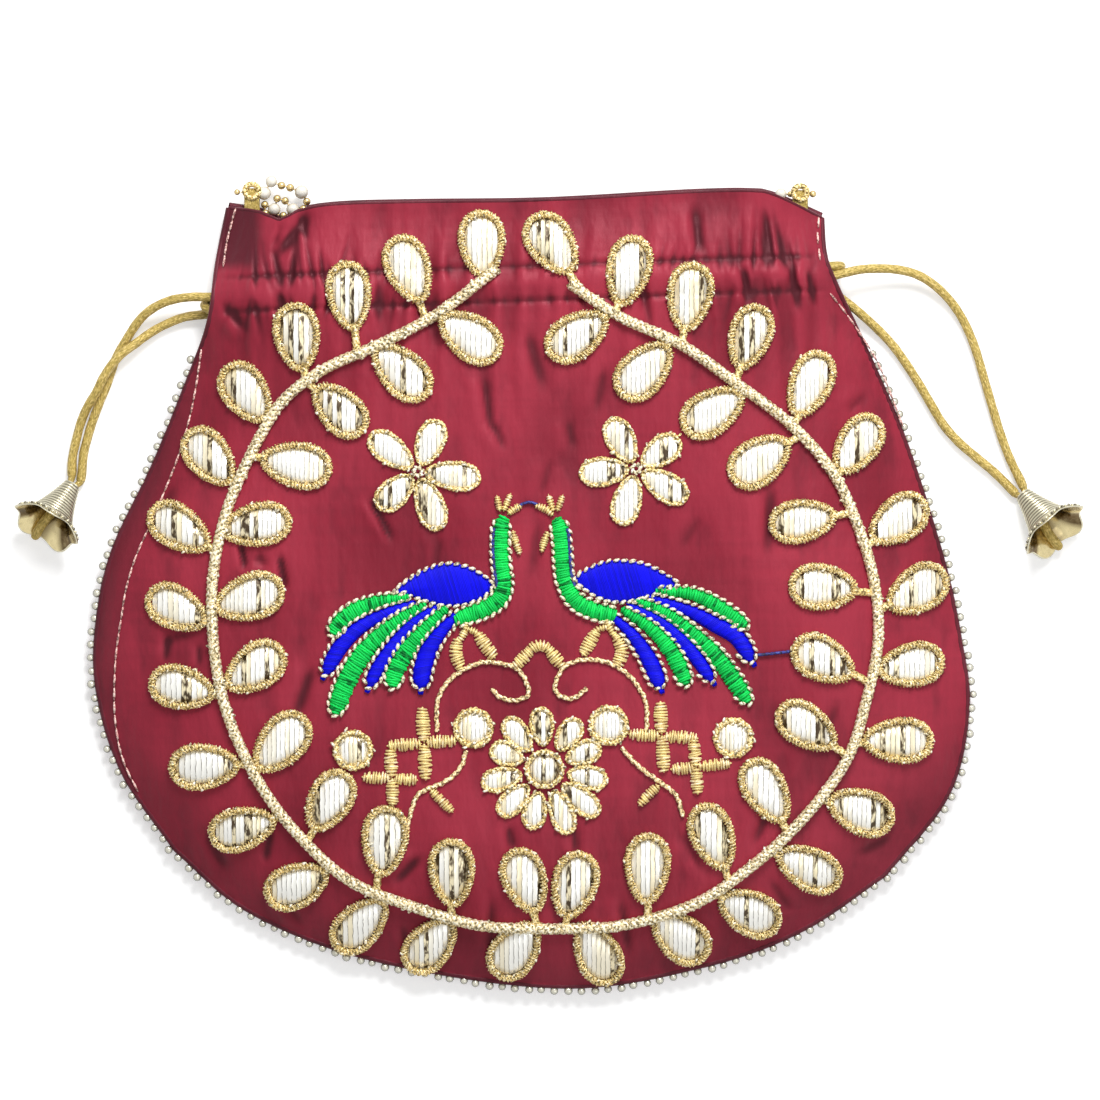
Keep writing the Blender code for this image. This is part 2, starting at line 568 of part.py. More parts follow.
def add_disc(bm, centre, radius, height, sides=10):
    """A low round pad."""
    turn = np.linspace(0, 2 * math.pi, sides, endpoint=False)
    ring = np.array(centre) + radius * np.column_stack([np.cos(turn), np.sin(turn)])
    edge = [bm.verts.new((*p, z)) for p, z in zip(ring, on_front(ring, 0.4 * height))]
    top = bm.verts.new((*centre, on_front([centre], height)[0]))
    under = bm.verts.new((*centre, on_front([centre], 0)[0]))
    for a, b in zip(edge, edge[1:] + edge[:1]):
        bm.faces.new((a, b, under))
        bm.faces.new((b, a, top))


def unite(obj, bm, finish):
    """Joins closed shells to an object as one body."""
    other = mesh_object(obj.name + "_joined", bm, finish)
    other.hide_render = True
    other.display_type = "WIRE"
    joined = obj.modifiers.new("Join", "BOOLEAN")
    joined.operation = "UNION"
    joined.solver = "EXACT"
    joined.use_self = True
    joined.object = other


def make_wreath(side, finish):
    stem = smooth_curve(to_metres(STEMS[side]), 0.0085)
    bm = bmesh.new()
    add_stroke(bm, stem, stroke_widths(len(stem), STEM_WIDTH, 0.8), STEM_HEIGHT)
    wreath = mesh_object("wreath_" + side, bm, finish)
    line = smooth_curve(to_metres(STEMS[side]), 0.001)
    leaves = bmesh.new()
    for middle in to_metres(LEAVES[side]):
        nearest = int(np.argmin(np.linalg.norm(line - middle, axis=1)))
        root = line[min(nearest + round(LEAF_SWEEP / 0.001), len(line) - 4)]
        add_pad(leaves, root, middle, LEAF_WIDTH, LEAF_PADDING, rise=0.5)
    unite(wreath, leaves, finish)


def make_small_flower(side, finish):
    centre, petals = SMALL_FLOWERS[side]
    centre = to_metres([centre])[0]
    bm = bmesh.new()
    add_disc(bm, centre, 0.35 * DISC_RADIUS, LEAF_PADDING, 8)
    flower = mesh_object("flower_" + side, bm, finish)
    shells = bmesh.new()
    for middle in to_metres(petals):
        out = (middle - centre) / np.linalg.norm(middle - centre)
        add_pad(shells, centre + out * 0.2 * DISC_RADIUS, middle, PETAL_WIDTH, LEAF_PADDING)
    unite(flower, shells, finish)


def make_centre_flower(finish):
    centre = to_metres([CENTRE_FLOWER])[0]
    bm = bmesh.new()
    add_disc(bm, centre, 0.8 * DISC_RADIUS, 1.3 * LEAF_PADDING)
    flower = mesh_object("flower_centre", bm, finish)
    shells = bmesh.new()
    for turn in range(CENTRE_FLOWER_PETALS):
        angle = 2 * math.pi * (turn + 0.06) / CENTRE_FLOWER_PETALS + math.pi / 2
        out = np.array((math.cos(angle), math.sin(angle)))
        reach = CENTRE_FLOWER_REACH * UNIT_X
        inner = centre + out * 0.4 * DISC_RADIUS
        middle = centre + out * (reach + 0.65 * DISC_RADIUS) / 2
        add_pad(shells, inner, middle, CENTRE_PETAL_WIDTH, LEAF_PADDING)
    unite(flower, shells, finish)


def make_disc(name, centre, finish):
    bm = bmesh.new()
    add_disc(bm, to_metres([centre])[0], DISC_RADIUS, LEAF_PADDING)
    mesh_object(name, bm, finish)


def make_peacock(side, finishes):
    for piece, (route, width) in PEACOCKS[side].items():
        line = smooth_curve(to_metres(route), 0.004)
        if len(line) < 3:
            line = smooth_curve(to_metres(route), 0.0018)
        bm = bmesh.new()
        add_stroke(bm, line, stroke_widths(len(line), width * UNIT_X), SATIN_HEIGHT)
        colour = "blue" if "blue" in piece or piece == "body" else "green"
        colour = "gold" if piece in ("crest", "beak") else colour
        mesh_object(f"peacock_{side}_{piece}", bm, finishes[colour])


def make_threads(name, strokes, finish):
    obj = None
    more = bmesh.new()
    for k, (route, width) in enumerate(strokes):
        line = smooth_curve(to_metres(route), 0.004)
        bm = more if k else bmesh.new()
        height = THREAD_HEIGHT * (1 + 0.15 * (k % 2))
        add_stroke(bm, line, stroke_widths(len(line), width * UNIT_X, 0.7), height)
        if not k:
            obj = mesh_object(name, bm, finish)
    if len(strokes) > 1:
        unite(obj, more, finish)
    else:
        more.free()


def tube(name, points, radii, finish, sides=8):
    """A round cord or a string of beads: a curve whose radius is set at each point."""
    curve = bpy.data.curves.new(name, "CURVE")
    curve.dimensions = "3D"
    curve.bevel_depth = 1.0
    curve.bevel_resolution = sides // 2 - 2
    curve.use_fill_caps = True
    spline = curve.splines.new("POLY")
    spline.points.add(len(points) - 1)
    for point, place, radius in zip(spline.points, points, radii):
        point.co = (*place, 1)
        point.radius = radius
    return add_object(name, curve, finish)


def cord_height(x, y, height):
    spot = (np.array([x]), np.array([y]))
    if height == FRONT:
        return front_layer(*spot)[0]
    if height == BACK:
        return back_layer(*spot)[0]
    if height == OVER:
        return back_layer(*spot)[0] + CORD_DIAMETER + CLEARANCE
    return height * MM


def make_drawcord(side, finish):
    points = [(x * MM, y * MM, cord_height(x * MM, y * MM, z)) for x, y, z in CORD_ROUTES[side]]
    route = smooth_curve(points, 2.6 * CORD_DIAMETER)
    radii = np.full(len(route), CORD_DIAMETER / 2)
    tube("drawcord_" + side, route, radii, finish)


def bell_frame(side):
    """Place of a bell lying on its rim and its neck, with its own +Z from neck to mouth."""
    (x, y), (east, north) = BELLS[side]
    tilt = math.atan2(BELL_MOUTH_RADIUS - BELL_NECK_RADIUS, BELL_LENGTH)
    level = math.hypot(east, north)
    axis = Vector((east / level * math.cos(tilt), north / level * math.cos(tilt), math.sin(tilt)))
    neck = Vector((x * MM, y * MM, BELL_NECK_RADIUS * math.cos(tilt) + 0.00002))
    return Matrix.Translation(neck) @ axis.to_track_quat("Z", "X").to_matrix().to_4x4()


def turned(bm, profile, steps, closed):
    """Spins a profile of (radius, height) points about Z."""
    verts = [bm.verts.new((radius, 0, height)) for radius, height in profile]
    edges = [bm.edges.new(pair) for pair in zip(verts, verts[1:])]
    if closed:
        edges.append(bm.edges.new((verts[-1], verts[0])))
    bmesh.ops.spin(
        bm, geom=verts + edges, cent=(0, 0, 0), axis=(0, 0, 1), dvec=(0, 0, 0),
        angle=2 * math.pi, steps=steps, use_merge=True, use_duplicate=False,
    )
    bmesh.ops.remove_doubles(bm, verts=bm.verts, dist=1e-6)


def make_bell(side, finish):
    length, mouth, neck, wall = BELL_LENGTH, BELL_MOUTH_RADIUS, BELL_NECK_RADIUS, BELL_WALL
    flare = mouth - neck
    outside = [
        (neck, 0), (neck + 0.14 * flare, 0.26 * length), (neck + 0.31 * flare, 0.52 * length),
        (neck + 0.48 * flare, 0.72 * length), (neck + 0.70 * flare, 0.87 * length),
        (mouth, length),
    ]
    inside = [(radius - wall, height + 0.35 * wall * (height > 0)) for radius, height in outside]
    bm = bmesh.new()
    turned(bm, outside + inside[::-1], 5 * BELL_LOBES, closed=True)
    for vert in bm.verts:
        angle = math.atan2(vert.co.y, vert.co.x)
        rim = (vert.co.z / length) ** 6 * (1 - math.cos(BELL_LOBES * angle)) / 2
        vert.co.x *= 1 - BELL_SCALLOP * rim
        vert.co.y *= 1 - BELL_SCALLOP * rim
        vert.co.z -= BELL_SCALLOP * mouth * rim
    bell = mesh_object("bell_" + side, bm, finish)
    bell.data.shade_smooth()
    bell.matrix_world = bell_frame(side)


def make_knot(side, finish):
    shank = BELL_NECK_RADIUS - BELL_WALL - CLEARANCE
    length, radius = BELL_LENGTH, KNOT_RADIUS
    profile = [
        (0, -SHANK_BEHIND_NECK), (shank, -SHANK_BEHIND_NECK), (shank, 0.28 * length),
        (0.75 * radius, 0.36 * length), (radius, 0.46 * length), (radius, 0.58 * length),
        (0.6 * radius, 0.67 * length), (0, 0.69 * length),
    ]
    bm = bmesh.new()
    turned(bm, profile, 10, closed=False)
    knot = mesh_object("knot_" + side, bm, finish)
    knot.data.shade_smooth()
    knot.matrix_world = bell_frame(side)


def make_edge_beads(finish):
    """Beads sewn along the seam below the casing, on one thread."""
    first = CASING_FROM_ORIGIN - 0.012
    below = SEAM[SEAM[:, 1] < first - 0.004]
    ahead = np.gradient(below, axis=0)
    ahead /= np.linalg.norm(ahead, axis=1)[:, None]
    outwards = np.column_stack([ahead[:, 1], -ahead[:, 0]])
    line = below + outwards * (EDGE_BEAD_DIAMETER / 2 + CLEARANCE)
    route = smooth_curve(line, EDGE_BEAD_PITCH / 2)
    height = np.full((len(route), 1), SEAM_HEIGHT)
    radii = np.where(np.arange(len(route)) % 2, EDGE_BEAD_DIAMETER, THREAD_DIAMETER) / 2
    tube("edge_beads", np.hstack([route, height]), radii, finish, sides=4)


def handle_height(x, y):
    """The strand lies on the back lining, and a little lower past the lip."""
    inside = np.minimum(y, LIP[0][1] * UNIT_Y)
    rest = lining_back_height(x, inside) + LINING_CLOTH + 1.5 * CLEARANCE
    past_lip = smoothstep(LIP[0][1] * UNIT_Y - TAB_REACH_IN * UNIT_Y, LIP[0][1] * UNIT_Y, y)
    return rest + PEARL_DIAMETER / 2 - HANDLE_DROP * past_lip


def make_handle(finish):
    """A pearl and two gold beads, over and over, on one thread."""
    flat = smooth_curve(to_metres(HANDLE_ROUTE), 0.001)
    z = handle_height(flat[:, 0], flat[:, 1])
    z = np.convolve(np.pad(z, 6, mode="edge"), np.ones(13) / 13, mode="valid")
    line = np.column_stack([flat, z])
    run = np.concatenate([[0], np.cumsum(np.linalg.norm(np.diff(line, axis=0), axis=1))])
    places, radii = [0.0], [THREAD_DIAMETER / 2]
    through_tab = TAB_WIDTH + 2 * CLEARANCE
    at, beads = 0.0, 0
    while at + PEARL_DIAMETER < run[-1] - GOLD_BEAD_DIAMETER - through_tab:
        size = PEARL_DIAMETER if beads % 3 == 1 else GOLD_BEAD_DIAMETER
        places += [at + size / 2, at + size]
        radii += [size / 2, THREAD_DIAMETER / 2]
        at += size + (through_tab if beads == 0 else 0)
        if beads == 0:
            places.append(at)
            radii.append(THREAD_DIAMETER / 2)
        beads += 1
    last = run[-1]
    places += [last - GOLD_BEAD_DIAMETER, last - GOLD_BEAD_DIAMETER / 2, last]
    radii += [THREAD_DIAMETER / 2, GOLD_BEAD_DIAMETER / 2, THREAD_DIAMETER / 2]
    points = np.column_stack([np.interp(places, run, line[:, k]) for k in range(3)])
    tube("handle_strand", points, radii, finish, sides=4)


def make_tab(side, finish):
    """A folded strip sewn inside the lip, with the strand through its fold."""
    x, y = to_metres([HANDLE_TABS[side]])[0]
    level = handle_height(np.array([x]), np.array([y]))[0]
    radius = THREAD_DIAMETER / 2 + CLEARANCE + TAB_CLOTH / 2
    points = [(y - TAB_REACH_IN * UNIT_Y, level - radius)]
    for turn in np.linspace(-math.pi / 2, math.pi / 2, 7):
        points.append((y + radius * math.cos(turn), level + radius * math.sin(turn)))
    points.append((y - TAB_REACH_IN * UNIT_Y, level + radius))
    curve = bpy.data.curves.new("handle_tab_" + side, "CURVE")
    curve.dimensions = "3D"
    curve.extrude = TAB_WIDTH / 2 - TAB_CLOTH / 2
    curve.bevel_depth = TAB_CLOTH / 2
    curve.bevel_resolution = 0
    curve.use_fill_caps = True
    spline = curve.splines.new("POLY")
    spline.points.add(len(points) - 1)
    for point, (a, b) in zip(spline.points, points):
        point.co = (x, a, b, 1)
        point.tilt = math.pi / 2
    add_object("handle_tab_" + side, curve, finish)


def main():
    clear_scene()
    silk = material("maroon silk", (0.36, 0.035, 0.06), 0.45)
    cotton = material("lining cotton", (0.30, 0.05, 0.07), 0.8)
    gota = material("gold ribbon", (0.85, 0.75, 0.50), 0.3, 0.8)
    zari = material("gold thread", (0.75, 0.55, 0.22), 0.5, 0.5)
    satin = material("gold satin cord", (0.60, 0.42, 0.10), 0.5)
    bell_metal = material("bell metal", (0.72, 0.68, 0.52), 0.3, 1.0)
    pearl = material("pearl", (0.90, 0.88, 0.82), 0.2)
    threads = {
        "blue": material("blue thread", (0.01, 0.01, 0.75), 0.5),
        "green": material("green thread", (0.01, 0.45, 0.10), 0.5),
        "gold": zari,
    }
    cloth_panel("front_panel", gathered_front, silk, PANEL_CLOTH, FRONT_COLUMNS, FRONT_ROWS, True)
    cloth_panel("back_panel", back_height, silk, PANEL_CLOTH, BACK_COLUMNS, BACK_ROWS, False)
    cloth_panel(
        "lining_front", lining_front_height, cotton, LINING_CLOTH, LINING_COLUMNS, LINING_ROWS,
        True, LINING_INSET,
    )
    cloth_panel(
        "lining_back", lining_back_height, cotton, LINING_CLOTH, LINING_COLUMNS, LINING_ROWS,
        False, LINING_INSET,
    )
    for side in ("left", "right"):
        make_wreath(side, gota)
        make_small_flower(side, gota)
        make_peacock(side, threads)
        make_drawcord(side, satin)
        make_bell(side, bell_metal)
        make_knot(side, satin)
        make_tab(side, satin)
    make_centre_flower(gota)
    for name, centre in DISCS.items():
        make_disc(name, centre, gota)
    for name, strokes in THREADS.items():
        make_threads(name, strokes, zari)
    make_edge_beads(pearl)
    make_handle(pearl)


main()
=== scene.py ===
"""Looks of the potli bag: silk, pleated ribbon, metal thread, satin cords, bells and beads.

Lengths are in metres. Lists of places are in millimetres of the bag's pattern, with +Y towards
the mouth and +X to the right, and the same numbers stand in the part's source.
"""
import math

import bmesh
import bpy
import numpy as np
from bpy.props import FloatProperty, FloatVectorProperty, PointerProperty
from mathutils import Matrix, Vector


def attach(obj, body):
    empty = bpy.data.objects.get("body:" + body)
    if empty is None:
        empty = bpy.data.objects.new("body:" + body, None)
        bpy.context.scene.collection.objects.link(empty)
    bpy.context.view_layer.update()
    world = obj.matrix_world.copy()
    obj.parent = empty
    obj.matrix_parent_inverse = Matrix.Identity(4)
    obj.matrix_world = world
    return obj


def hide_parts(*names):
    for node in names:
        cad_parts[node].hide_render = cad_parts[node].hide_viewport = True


bl_info = {
    "name": "Potli bag looks",
    "version": (1, 0, 0),
    "blender": (4, 5, 0),
    "location": "3D View > Sidebar > Potli bag",
    "description": "Cloth, applique, cords, bells and beads of a drawstring pouch",
    "category": "Object",
}

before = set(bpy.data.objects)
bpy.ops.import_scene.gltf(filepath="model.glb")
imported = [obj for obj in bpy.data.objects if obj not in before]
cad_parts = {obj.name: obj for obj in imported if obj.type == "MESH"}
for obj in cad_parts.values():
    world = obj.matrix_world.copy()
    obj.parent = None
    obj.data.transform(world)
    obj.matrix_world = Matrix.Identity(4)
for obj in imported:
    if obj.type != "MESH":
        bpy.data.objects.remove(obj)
MM = 0.001

# The bag's form, as in the part's source
BODY_THICKNESS = 0.0185
CASING_THICKNESS = 0.0175
LIP_THICKNESS = 0.0140
SEAM_HEIGHT = 0.0035
SEAM_SPREAD = 0.0010
SIDE_SLIT_LIFT = 0.0062
SIDE_SLIT_LENGTH = 0.0105
BODY_EDGE_ROUND = 0.055
MOUTH_EDGE_ROUND = 0.030
BACK_EDGE_ROUND = 0.018
PANEL_CLOTH = 0.0006
LINING_CLOTH = 0.0004
LINING_GAP = 0.0008
LINING_INSET = 0.009
CLEARANCE = 0.00035
CASING_FROM_ORIGIN = 0.0824
CASING_RISE = 0.0515
CASING_HEIGHT = 0.014
GATHER_DEPTH = 0.0010
GATHER_REACH_UP = 0.016
GATHER_REACH_DOWN = 0.026
GATHER_FADE = 0.010
TUNNEL_CLEARANCE = 0.00055
CORD_CROSSING_REACH = 0.014
CORD_CROSSING_FADE = 0.012
CORD_DIAMETER = 0.0025
BELL_LENGTH = 0.0155
BELL_MOUTH_RADIUS = 0.0105
BELL_NECK_RADIUS = 0.00225
BELL_WALL = 0.0006
BELL_LOBES = 5
BELL_SCALLOP = 0.14
EDGE_BEAD_DIAMETER = 0.0022
EDGE_BEAD_PITCH = 0.00365
THREAD_DIAMETER = 0.0007
PEARL_DIAMETER = 0.0038
GOLD_BEAD_DIAMETER = 0.0024
TAB_WIDTH = 0.0042
TAB_CLOTH = 0.0005
TAB_REACH_IN = 5.5
HANDLE_DROP = 0.0006
LEAF_SWEEP = 0.004

LEFT_SIDE = (
    (-83.9, 105.0), (-86.9, 89.8), (-88.8, 74.4), (-94.6, 58.4), (-104.3, 34.4),
    (-115.6, 10.5), (-120.0, -9.1), (-120.0, -28.1), (-113.1, -50.7), (-98.5, -72.2),
)
BOTTOM = (
    (-98.5, -72.2), (-77.8, -89.3), (-43.4, -102.5), (7.6, -109.9), (46.1, -104.4),
    (73.7, -94.6), (97.1, -79.1),
)
RIGHT_SIDE = (
    (97.1, -79.1), (114.5, -57.0), (120.0, -33.6), (117.8, -14.0), (113.1, 7.7),
    (102.6, 40.8), (90.8, 68.3), (84.2, 82.1), (80.6, 91.0), (79.8, 102.2),
)
LIP = (
    (-83.9, 105.0), (-75.1, 103.6), (-69.3, 101.1), (-64.1, 103.9), (-53.0, 105.5),
    (-32.1, 106.1), (3.7, 106.6), (43.4, 108.8), (60.5, 109.1), (66.8, 108.0),
    (79.8, 102.2),
)

# Folds of the front: start, end, half width and depth
FOLDS = (
    ((-60.7, 104.0), (-71.3, 90.0), 1.9, 0.9), ((-68.9, 101.0), (-71.5, 93.5), 1.2, 0.8),
    ((-63.6, 102.4), (-61.6, 95.0), 0.9, 0.5), ((44.5, 106.0), (46.0, 90.0), 1.6, 0.8),
    ((63.8, 105.0), (65.4, 88.0), 1.6, 0.5), ((-56.4, 86.0), (-54.8, 74.0), 1.3, 1.0),
    ((-52.4, 84.3), (-51.4, 76.0), 0.9, 0.6), ((-59.4, 85.0), (-60.2, 76.5), 1.0, 0.7),
    ((-13.4, 60.0), (-11.0, 40.0), 1.5, 0.7), ((-11.0, 46.0), (-7.4, 37.0), 1.2, 0.5),
    ((9.4, 47.0), (11.8, 37.0), 1.4, 0.6), ((65.6, 30.0), (64.0, 6.0), 2.0, 0.6),
    ((-45.0, 25.5), (-37.6, 11.6), 1.0, 1.1), ((-87.0, 80.0), (-78.0, 70.0), 1.4, 0.8),
    ((57.5, 89.0), (59.8, 77.0), 1.3, 0.9), ((71.0, 90.0), (73.0, 75.0), 1.2, 0.9),
    ((75.6, 88.5), (77.4, 77.0), 1.0, 0.8), ((-25.3, 14.5), (-27.0, 4.5), 1.1, 0.5),
    ((-80.3, 13.2), (-78.7, 4.2), 1.0, 1.0), ((-76.8, 9.4), (-70.5, 4.9), 1.8, 0.6),
    ((-30.0, 80.0), (-24.0, 62.0), 1.6, 0.5), ((-2.0, 72.0), (4.0, 52.0), 2.2, 0.6),
    ((20.0, 62.0), (17.0, 46.0), 1.6, 0.5), ((-60.0, -20.0), (-66.0, -38.0), 1.8, 0.7),
    ((-57.0, -52.0), (-60.0, -70.0), 1.5, 0.6), ((-90.0, -66.0), (-84.0, -80.0), 2.0, 0.6),
    ((-70.0, -84.0), (-62.0, -96.0), 1.4, 0.6), ((-36.0, -92.0), (-34.0, -104.0), 1.2, 0.6),
    ((-11.0, -84.0), (-12.0, -104.0), 1.2, 0.6), ((24.0, -84.0), (27.0, -104.0), 1.3, 0.6),
    ((66.0, -58.0), (60.0, -72.0), 1.5, 0.6), ((72.0, -90.0), (64.0, -78.0), 1.6, 0.5),
    ((84.0, -30.0), (78.0, -48.0), 1.6, 0.5), ((100.0, -68.0), (88.0, -74.0), 1.8, 0.5),
    ((-98.0, 30.0), (-106.0, 12.0), 2.0, 0.5), ((-92.0, -12.0), (-106.0, -16.0), 1.6, 0.4),
    ((92.0, 54.0), (86.0, 48.0), 1.4, 0.4), ((30.0, 84.0), (33.0, 70.0), 1.2, 0.5),
    ((-42.0, 85.0), (-43.0, 73.0), 1.2, 0.6), ((-70.0, 82.0), (-66.0, 70.0), 1.3, 0.8),
    ((46.0, 20.0), (40.0, 10.0), 1.8, 0.4), ((2.0, 20.0), (-1.0, 0.0), 1.8, 0.4),
    ((40.0, -66.0), (48.0, -80.0), 1.4, 0.4), ((5.0, 36.0), (2.0, 24.0), 1.2, 0.4),
    ((-100.1, -12.6), (-101.1, -21.1), 1.0, 0.8), ((-69.6, 10.0), (-67.6, -2.0), 1.2, 0.9),
    ((-91.7, -15.0), (-91.5, -22.3), 0.9, 0.7),
    ((-71.8, -66.0), (-74.0, -76.5), 1.3, 0.8), ((-30.4, -73.0), (-38.6, -81.9), 1.4, 0.8),
    ((-6.9, -65.0), (-5.2, -72.5), 1.2, 0.7), ((11.0, -64.5), (12.2, -74.0), 1.2, 0.7),
)

# Wreath: two stems, and the middle of each leaf
STEMS = {
    "left": (
        (-9.8, 87.6), (-26.3, 75.2), (-42.0, 66.9), (-57.2, 60.1), (-68.2, 51.8),
        (-74.5, 42.2), (-80.6, 29.8), (-84.7, 18.7), (-87.5, 5.0), (-88.0, -8.8),
        (-86.1, -25.3), (-82.0, -39.1), (-74.5, -54.3), (-64.1, -68.0), (-50.3, -80.4),
        (-33.7, -87.3), (-14.5, -92.8), (5.6, -93.7),
    ),
    "right": (
        (10.3, 83.5), (24.1, 74.4), (40.6, 66.9), (54.4, 57.3), (70.9, 44.9),
        (82.0, 32.5), (88.8, 18.7), (93.8, 2.2), (94.9, -14.3), (91.6, -30.9),
        (86.1, -47.4), (73.7, -63.9), (58.5, -77.7), (43.4, -87.3), (24.1, -92.8),
        (5.8, -93.7),
    ),
}
LEAVES = {
    "left": (
        (-13.9, 94.5), (-34.0, 87.6), (-50.3, 80.2), (-64.6, 68.9), (-78.7, 53.7),
        (-88.8, 36.1), (-97.1, 16.5), (-97.7, -5.5), (-96.3, -27.3), (-90.2, -49.0),
        (-79.8, -66.1), (-64.9, -81.8), (-47.5, -92.8), (-28.2, -98.4), (-4.8, -99.7),
        (-17.2, 69.1), (-36.0, 59.5), (-53.0, 49.0), (-64.9, 33.9), (-75.9, 17.4),
        (-77.8, -2.5), (-76.2, -21.8), (-69.0, -42.4), (-55.8, -58.4), (-40.6, -69.4),
        (-22.2, -78.2), (-2.1, -80.4),
    ),
    "right": (
        (5.4, 94.5), (26.3, 87.1), (43.1, 79.9), (59.6, 68.9), (76.2, 55.9),
        (89.4, 39.4), (100.7, 18.7), (105.9, -0.6), (104.0, -21.2), (100.4, -41.9),
        (90.2, -61.4), (75.9, -77.1), (59.6, -89.3), (40.6, -96.1), (17.8, -100.6),
        (12.3, 69.4), (30.7, 59.8), (49.5, 48.5), (62.4, 35.0), (74.2, 18.5),
        (79.8, 0.3), (79.8, -19.6), (75.3, -38.0), (64.1, -55.7), (49.5, -68.3),
        (31.5, -77.1), (11.4, -81.6),
    ),
}
SMALL_FLOWERS = {
    "left": ((-31.4, 32.0), ((-28.2, 39.9), (-21.9, 30.9), (-28.2, 23.1), (-37.6, 26.4), (-38.7, 37.7))),
    "right": ((28.4, 32.8), ((24.4, 40.5), (35.1, 37.5), (36.2, 28.1), (26.0, 24.2), (19.7, 32.0))),
}
CENTRE_FLOWER = (3.3, -49.6)
CENTRE_PETALS = (
    (2.6, -38.0), (9.8, -40.2), (13.9, -45.2), (15.0, -51.8), (13.1, -57.9), (7.9, -61.4),
    (0.7, -60.9), (-5.1, -58.1), (-8.4, -52.3), (-7.0, -45.5), (-4.0, -40.2),
)
DISCS = {
    "disc_outer_left": (-49.2, -44.4), "disc_inner_left": (-16.2, -38.3),
    "disc_inner_right": (20.9, -37.6), "disc_outer_right": (55.1, -41.0),
}

# Peacocks: the body's outline, then each stroke's route and greatest width
PEACOCKS = {
    "left": {
        "body": ((-38.0, -1.1), (-34.9, 1.9), (-29.9, 5.0), (-23.8, 6.9), (-18.3, 6.1), (-13.9, 3.9),
                 (-10.8, 1.1), (-13.4, -2.5), (-18.3, -4.4), (-23.0, -4.9), (-28.2, -3.9), (-33.2, -2.2)),
        "neck": (((-7.6, 19.8), (-8.5, 16.8), (-8.8, 11.8), (-8.5, 6.1), (-7.9, 1.1), (-9.2, -3.0),
                  (-13.4, -5.8), (-17.5, -7.2), (-21.6, -8.9)), 4.3),
        "green_feather_1": (((-35.4, -2.6), (-42.0, -3.6), (-48.1, -5.8),
                    (-52.6, -9.1), (-55.0, -12.7)), 3.8),
        "blue_feather_1": (((-33.7, -4.4), (-41.2, -7.3), (-48.1, -11.3),
                    (-53.0, -16.5), (-56.9, -23.6)), 4.0),
        "green_feather_2": (((-30.7, -5.2), (-38.4, -10.0), (-45.9, -17.0),
                    (-50.8, -25.1), (-54.4, -34.6)), 4.6),
        "blue_feather_2": (((-27.1, -5.6), (-32.9, -9.6), (-38.4, -16.0),
                    (-42.6, -22.3), (-44.8, -27.0)), 3.6),
        "green_feather_3": (((-24.6, -6.4), (-29.3, -11.0), (-34.3, -16.8),
                    (-37.6, -22.9), (-38.6, -27.3)), 4.2),
        "blue_feather_3": (((-21.5, -8.0), (-25.2, -12.0), (-28.4, -16.8),
                    (-30.2, -22.3), (-30.6, -27.4)), 4.6),
        "crest": (((-9.8, 25.6), (-8.9, 21.0)), ((-5.9, 26.2), (-8.0, 21.0))),
        "beak": (((-6.9, 20.2), (-5.1, 21.7), (-2.7, 22.7)),),
        "wattle": (((-5.4, 16.0), (-4.6, 12.6), (-3.3, 9.1)),),
    },
    "right": {
        "body": ((11.4, 2.5), (14.7, 5.2), (19.4, 7.2), (24.4, 7.7), (30.4, 6.9), (35.1, 4.7),
                 (40.1, 1.1), (35.1, -1.1), (29.9, -2.8), (24.1, -3.9), (19.1, -3.1), (14.7, -0.6)),
        "neck": (((6.5, 19.4), (7.6, 16.0), (8.1, 11.3), (8.4, 6.1), (9.2, 1.4), (12.1, -3.6),
                  (17.5, -6.3), (23.3, -7.6)), 4.3),
        "green_feather_1": (((35.4, -0.9), (43.1, -1.4), (50.0, -4.4), (58.8, -10.5)), 3.4),
        "blue_feather_1": (((33.7, -3.0), (43.1, -6.3), (50.0, -9.9), (56.1, -13.5), (60.2, -20.0)), 4.2),
        "green_feather_2": (((29.9, -3.9), (37.6, -7.4), (44.5, -12.9), (51.4, -19.8), (59.4, -31.4)), 4.0),
        "blue_feather_2": (((27.5, -5.1), (35.0, -9.2), (40.9, -14.4), (45.3, -19.6), (49.2, -25.3)), 3.6),
        "green_feather_3": (((25.9, -6.6), (32.5, -11.0), (37.6, -16.6), (40.4, -21.6), (42.4, -26.6)), 3.8),
        "blue_feather_3": (((22.8, -8.4), (27.4, -12.8), (31.0, -17.8), (33.3, -22.4), (35.1, -27.2)), 4.2),
        "crest": (((4.3, 25.9), (5.8, 21.0)), ((8.4, 25.8), (6.7, 21.0))),
        "beak": (((5.8, 20.0), (3.4, 21.8), (0.5, 22.8)),),
        "wattle": (((4.3, 15.7), (3.2, 12.8), (2.4, 9.8)),),
    },
}
FEATHERS = (
    "green_feather_1", "blue_feather_1", "green_feather_2", "blue_feather_2",
    "green_feather_3", "blue_feather_3",
)

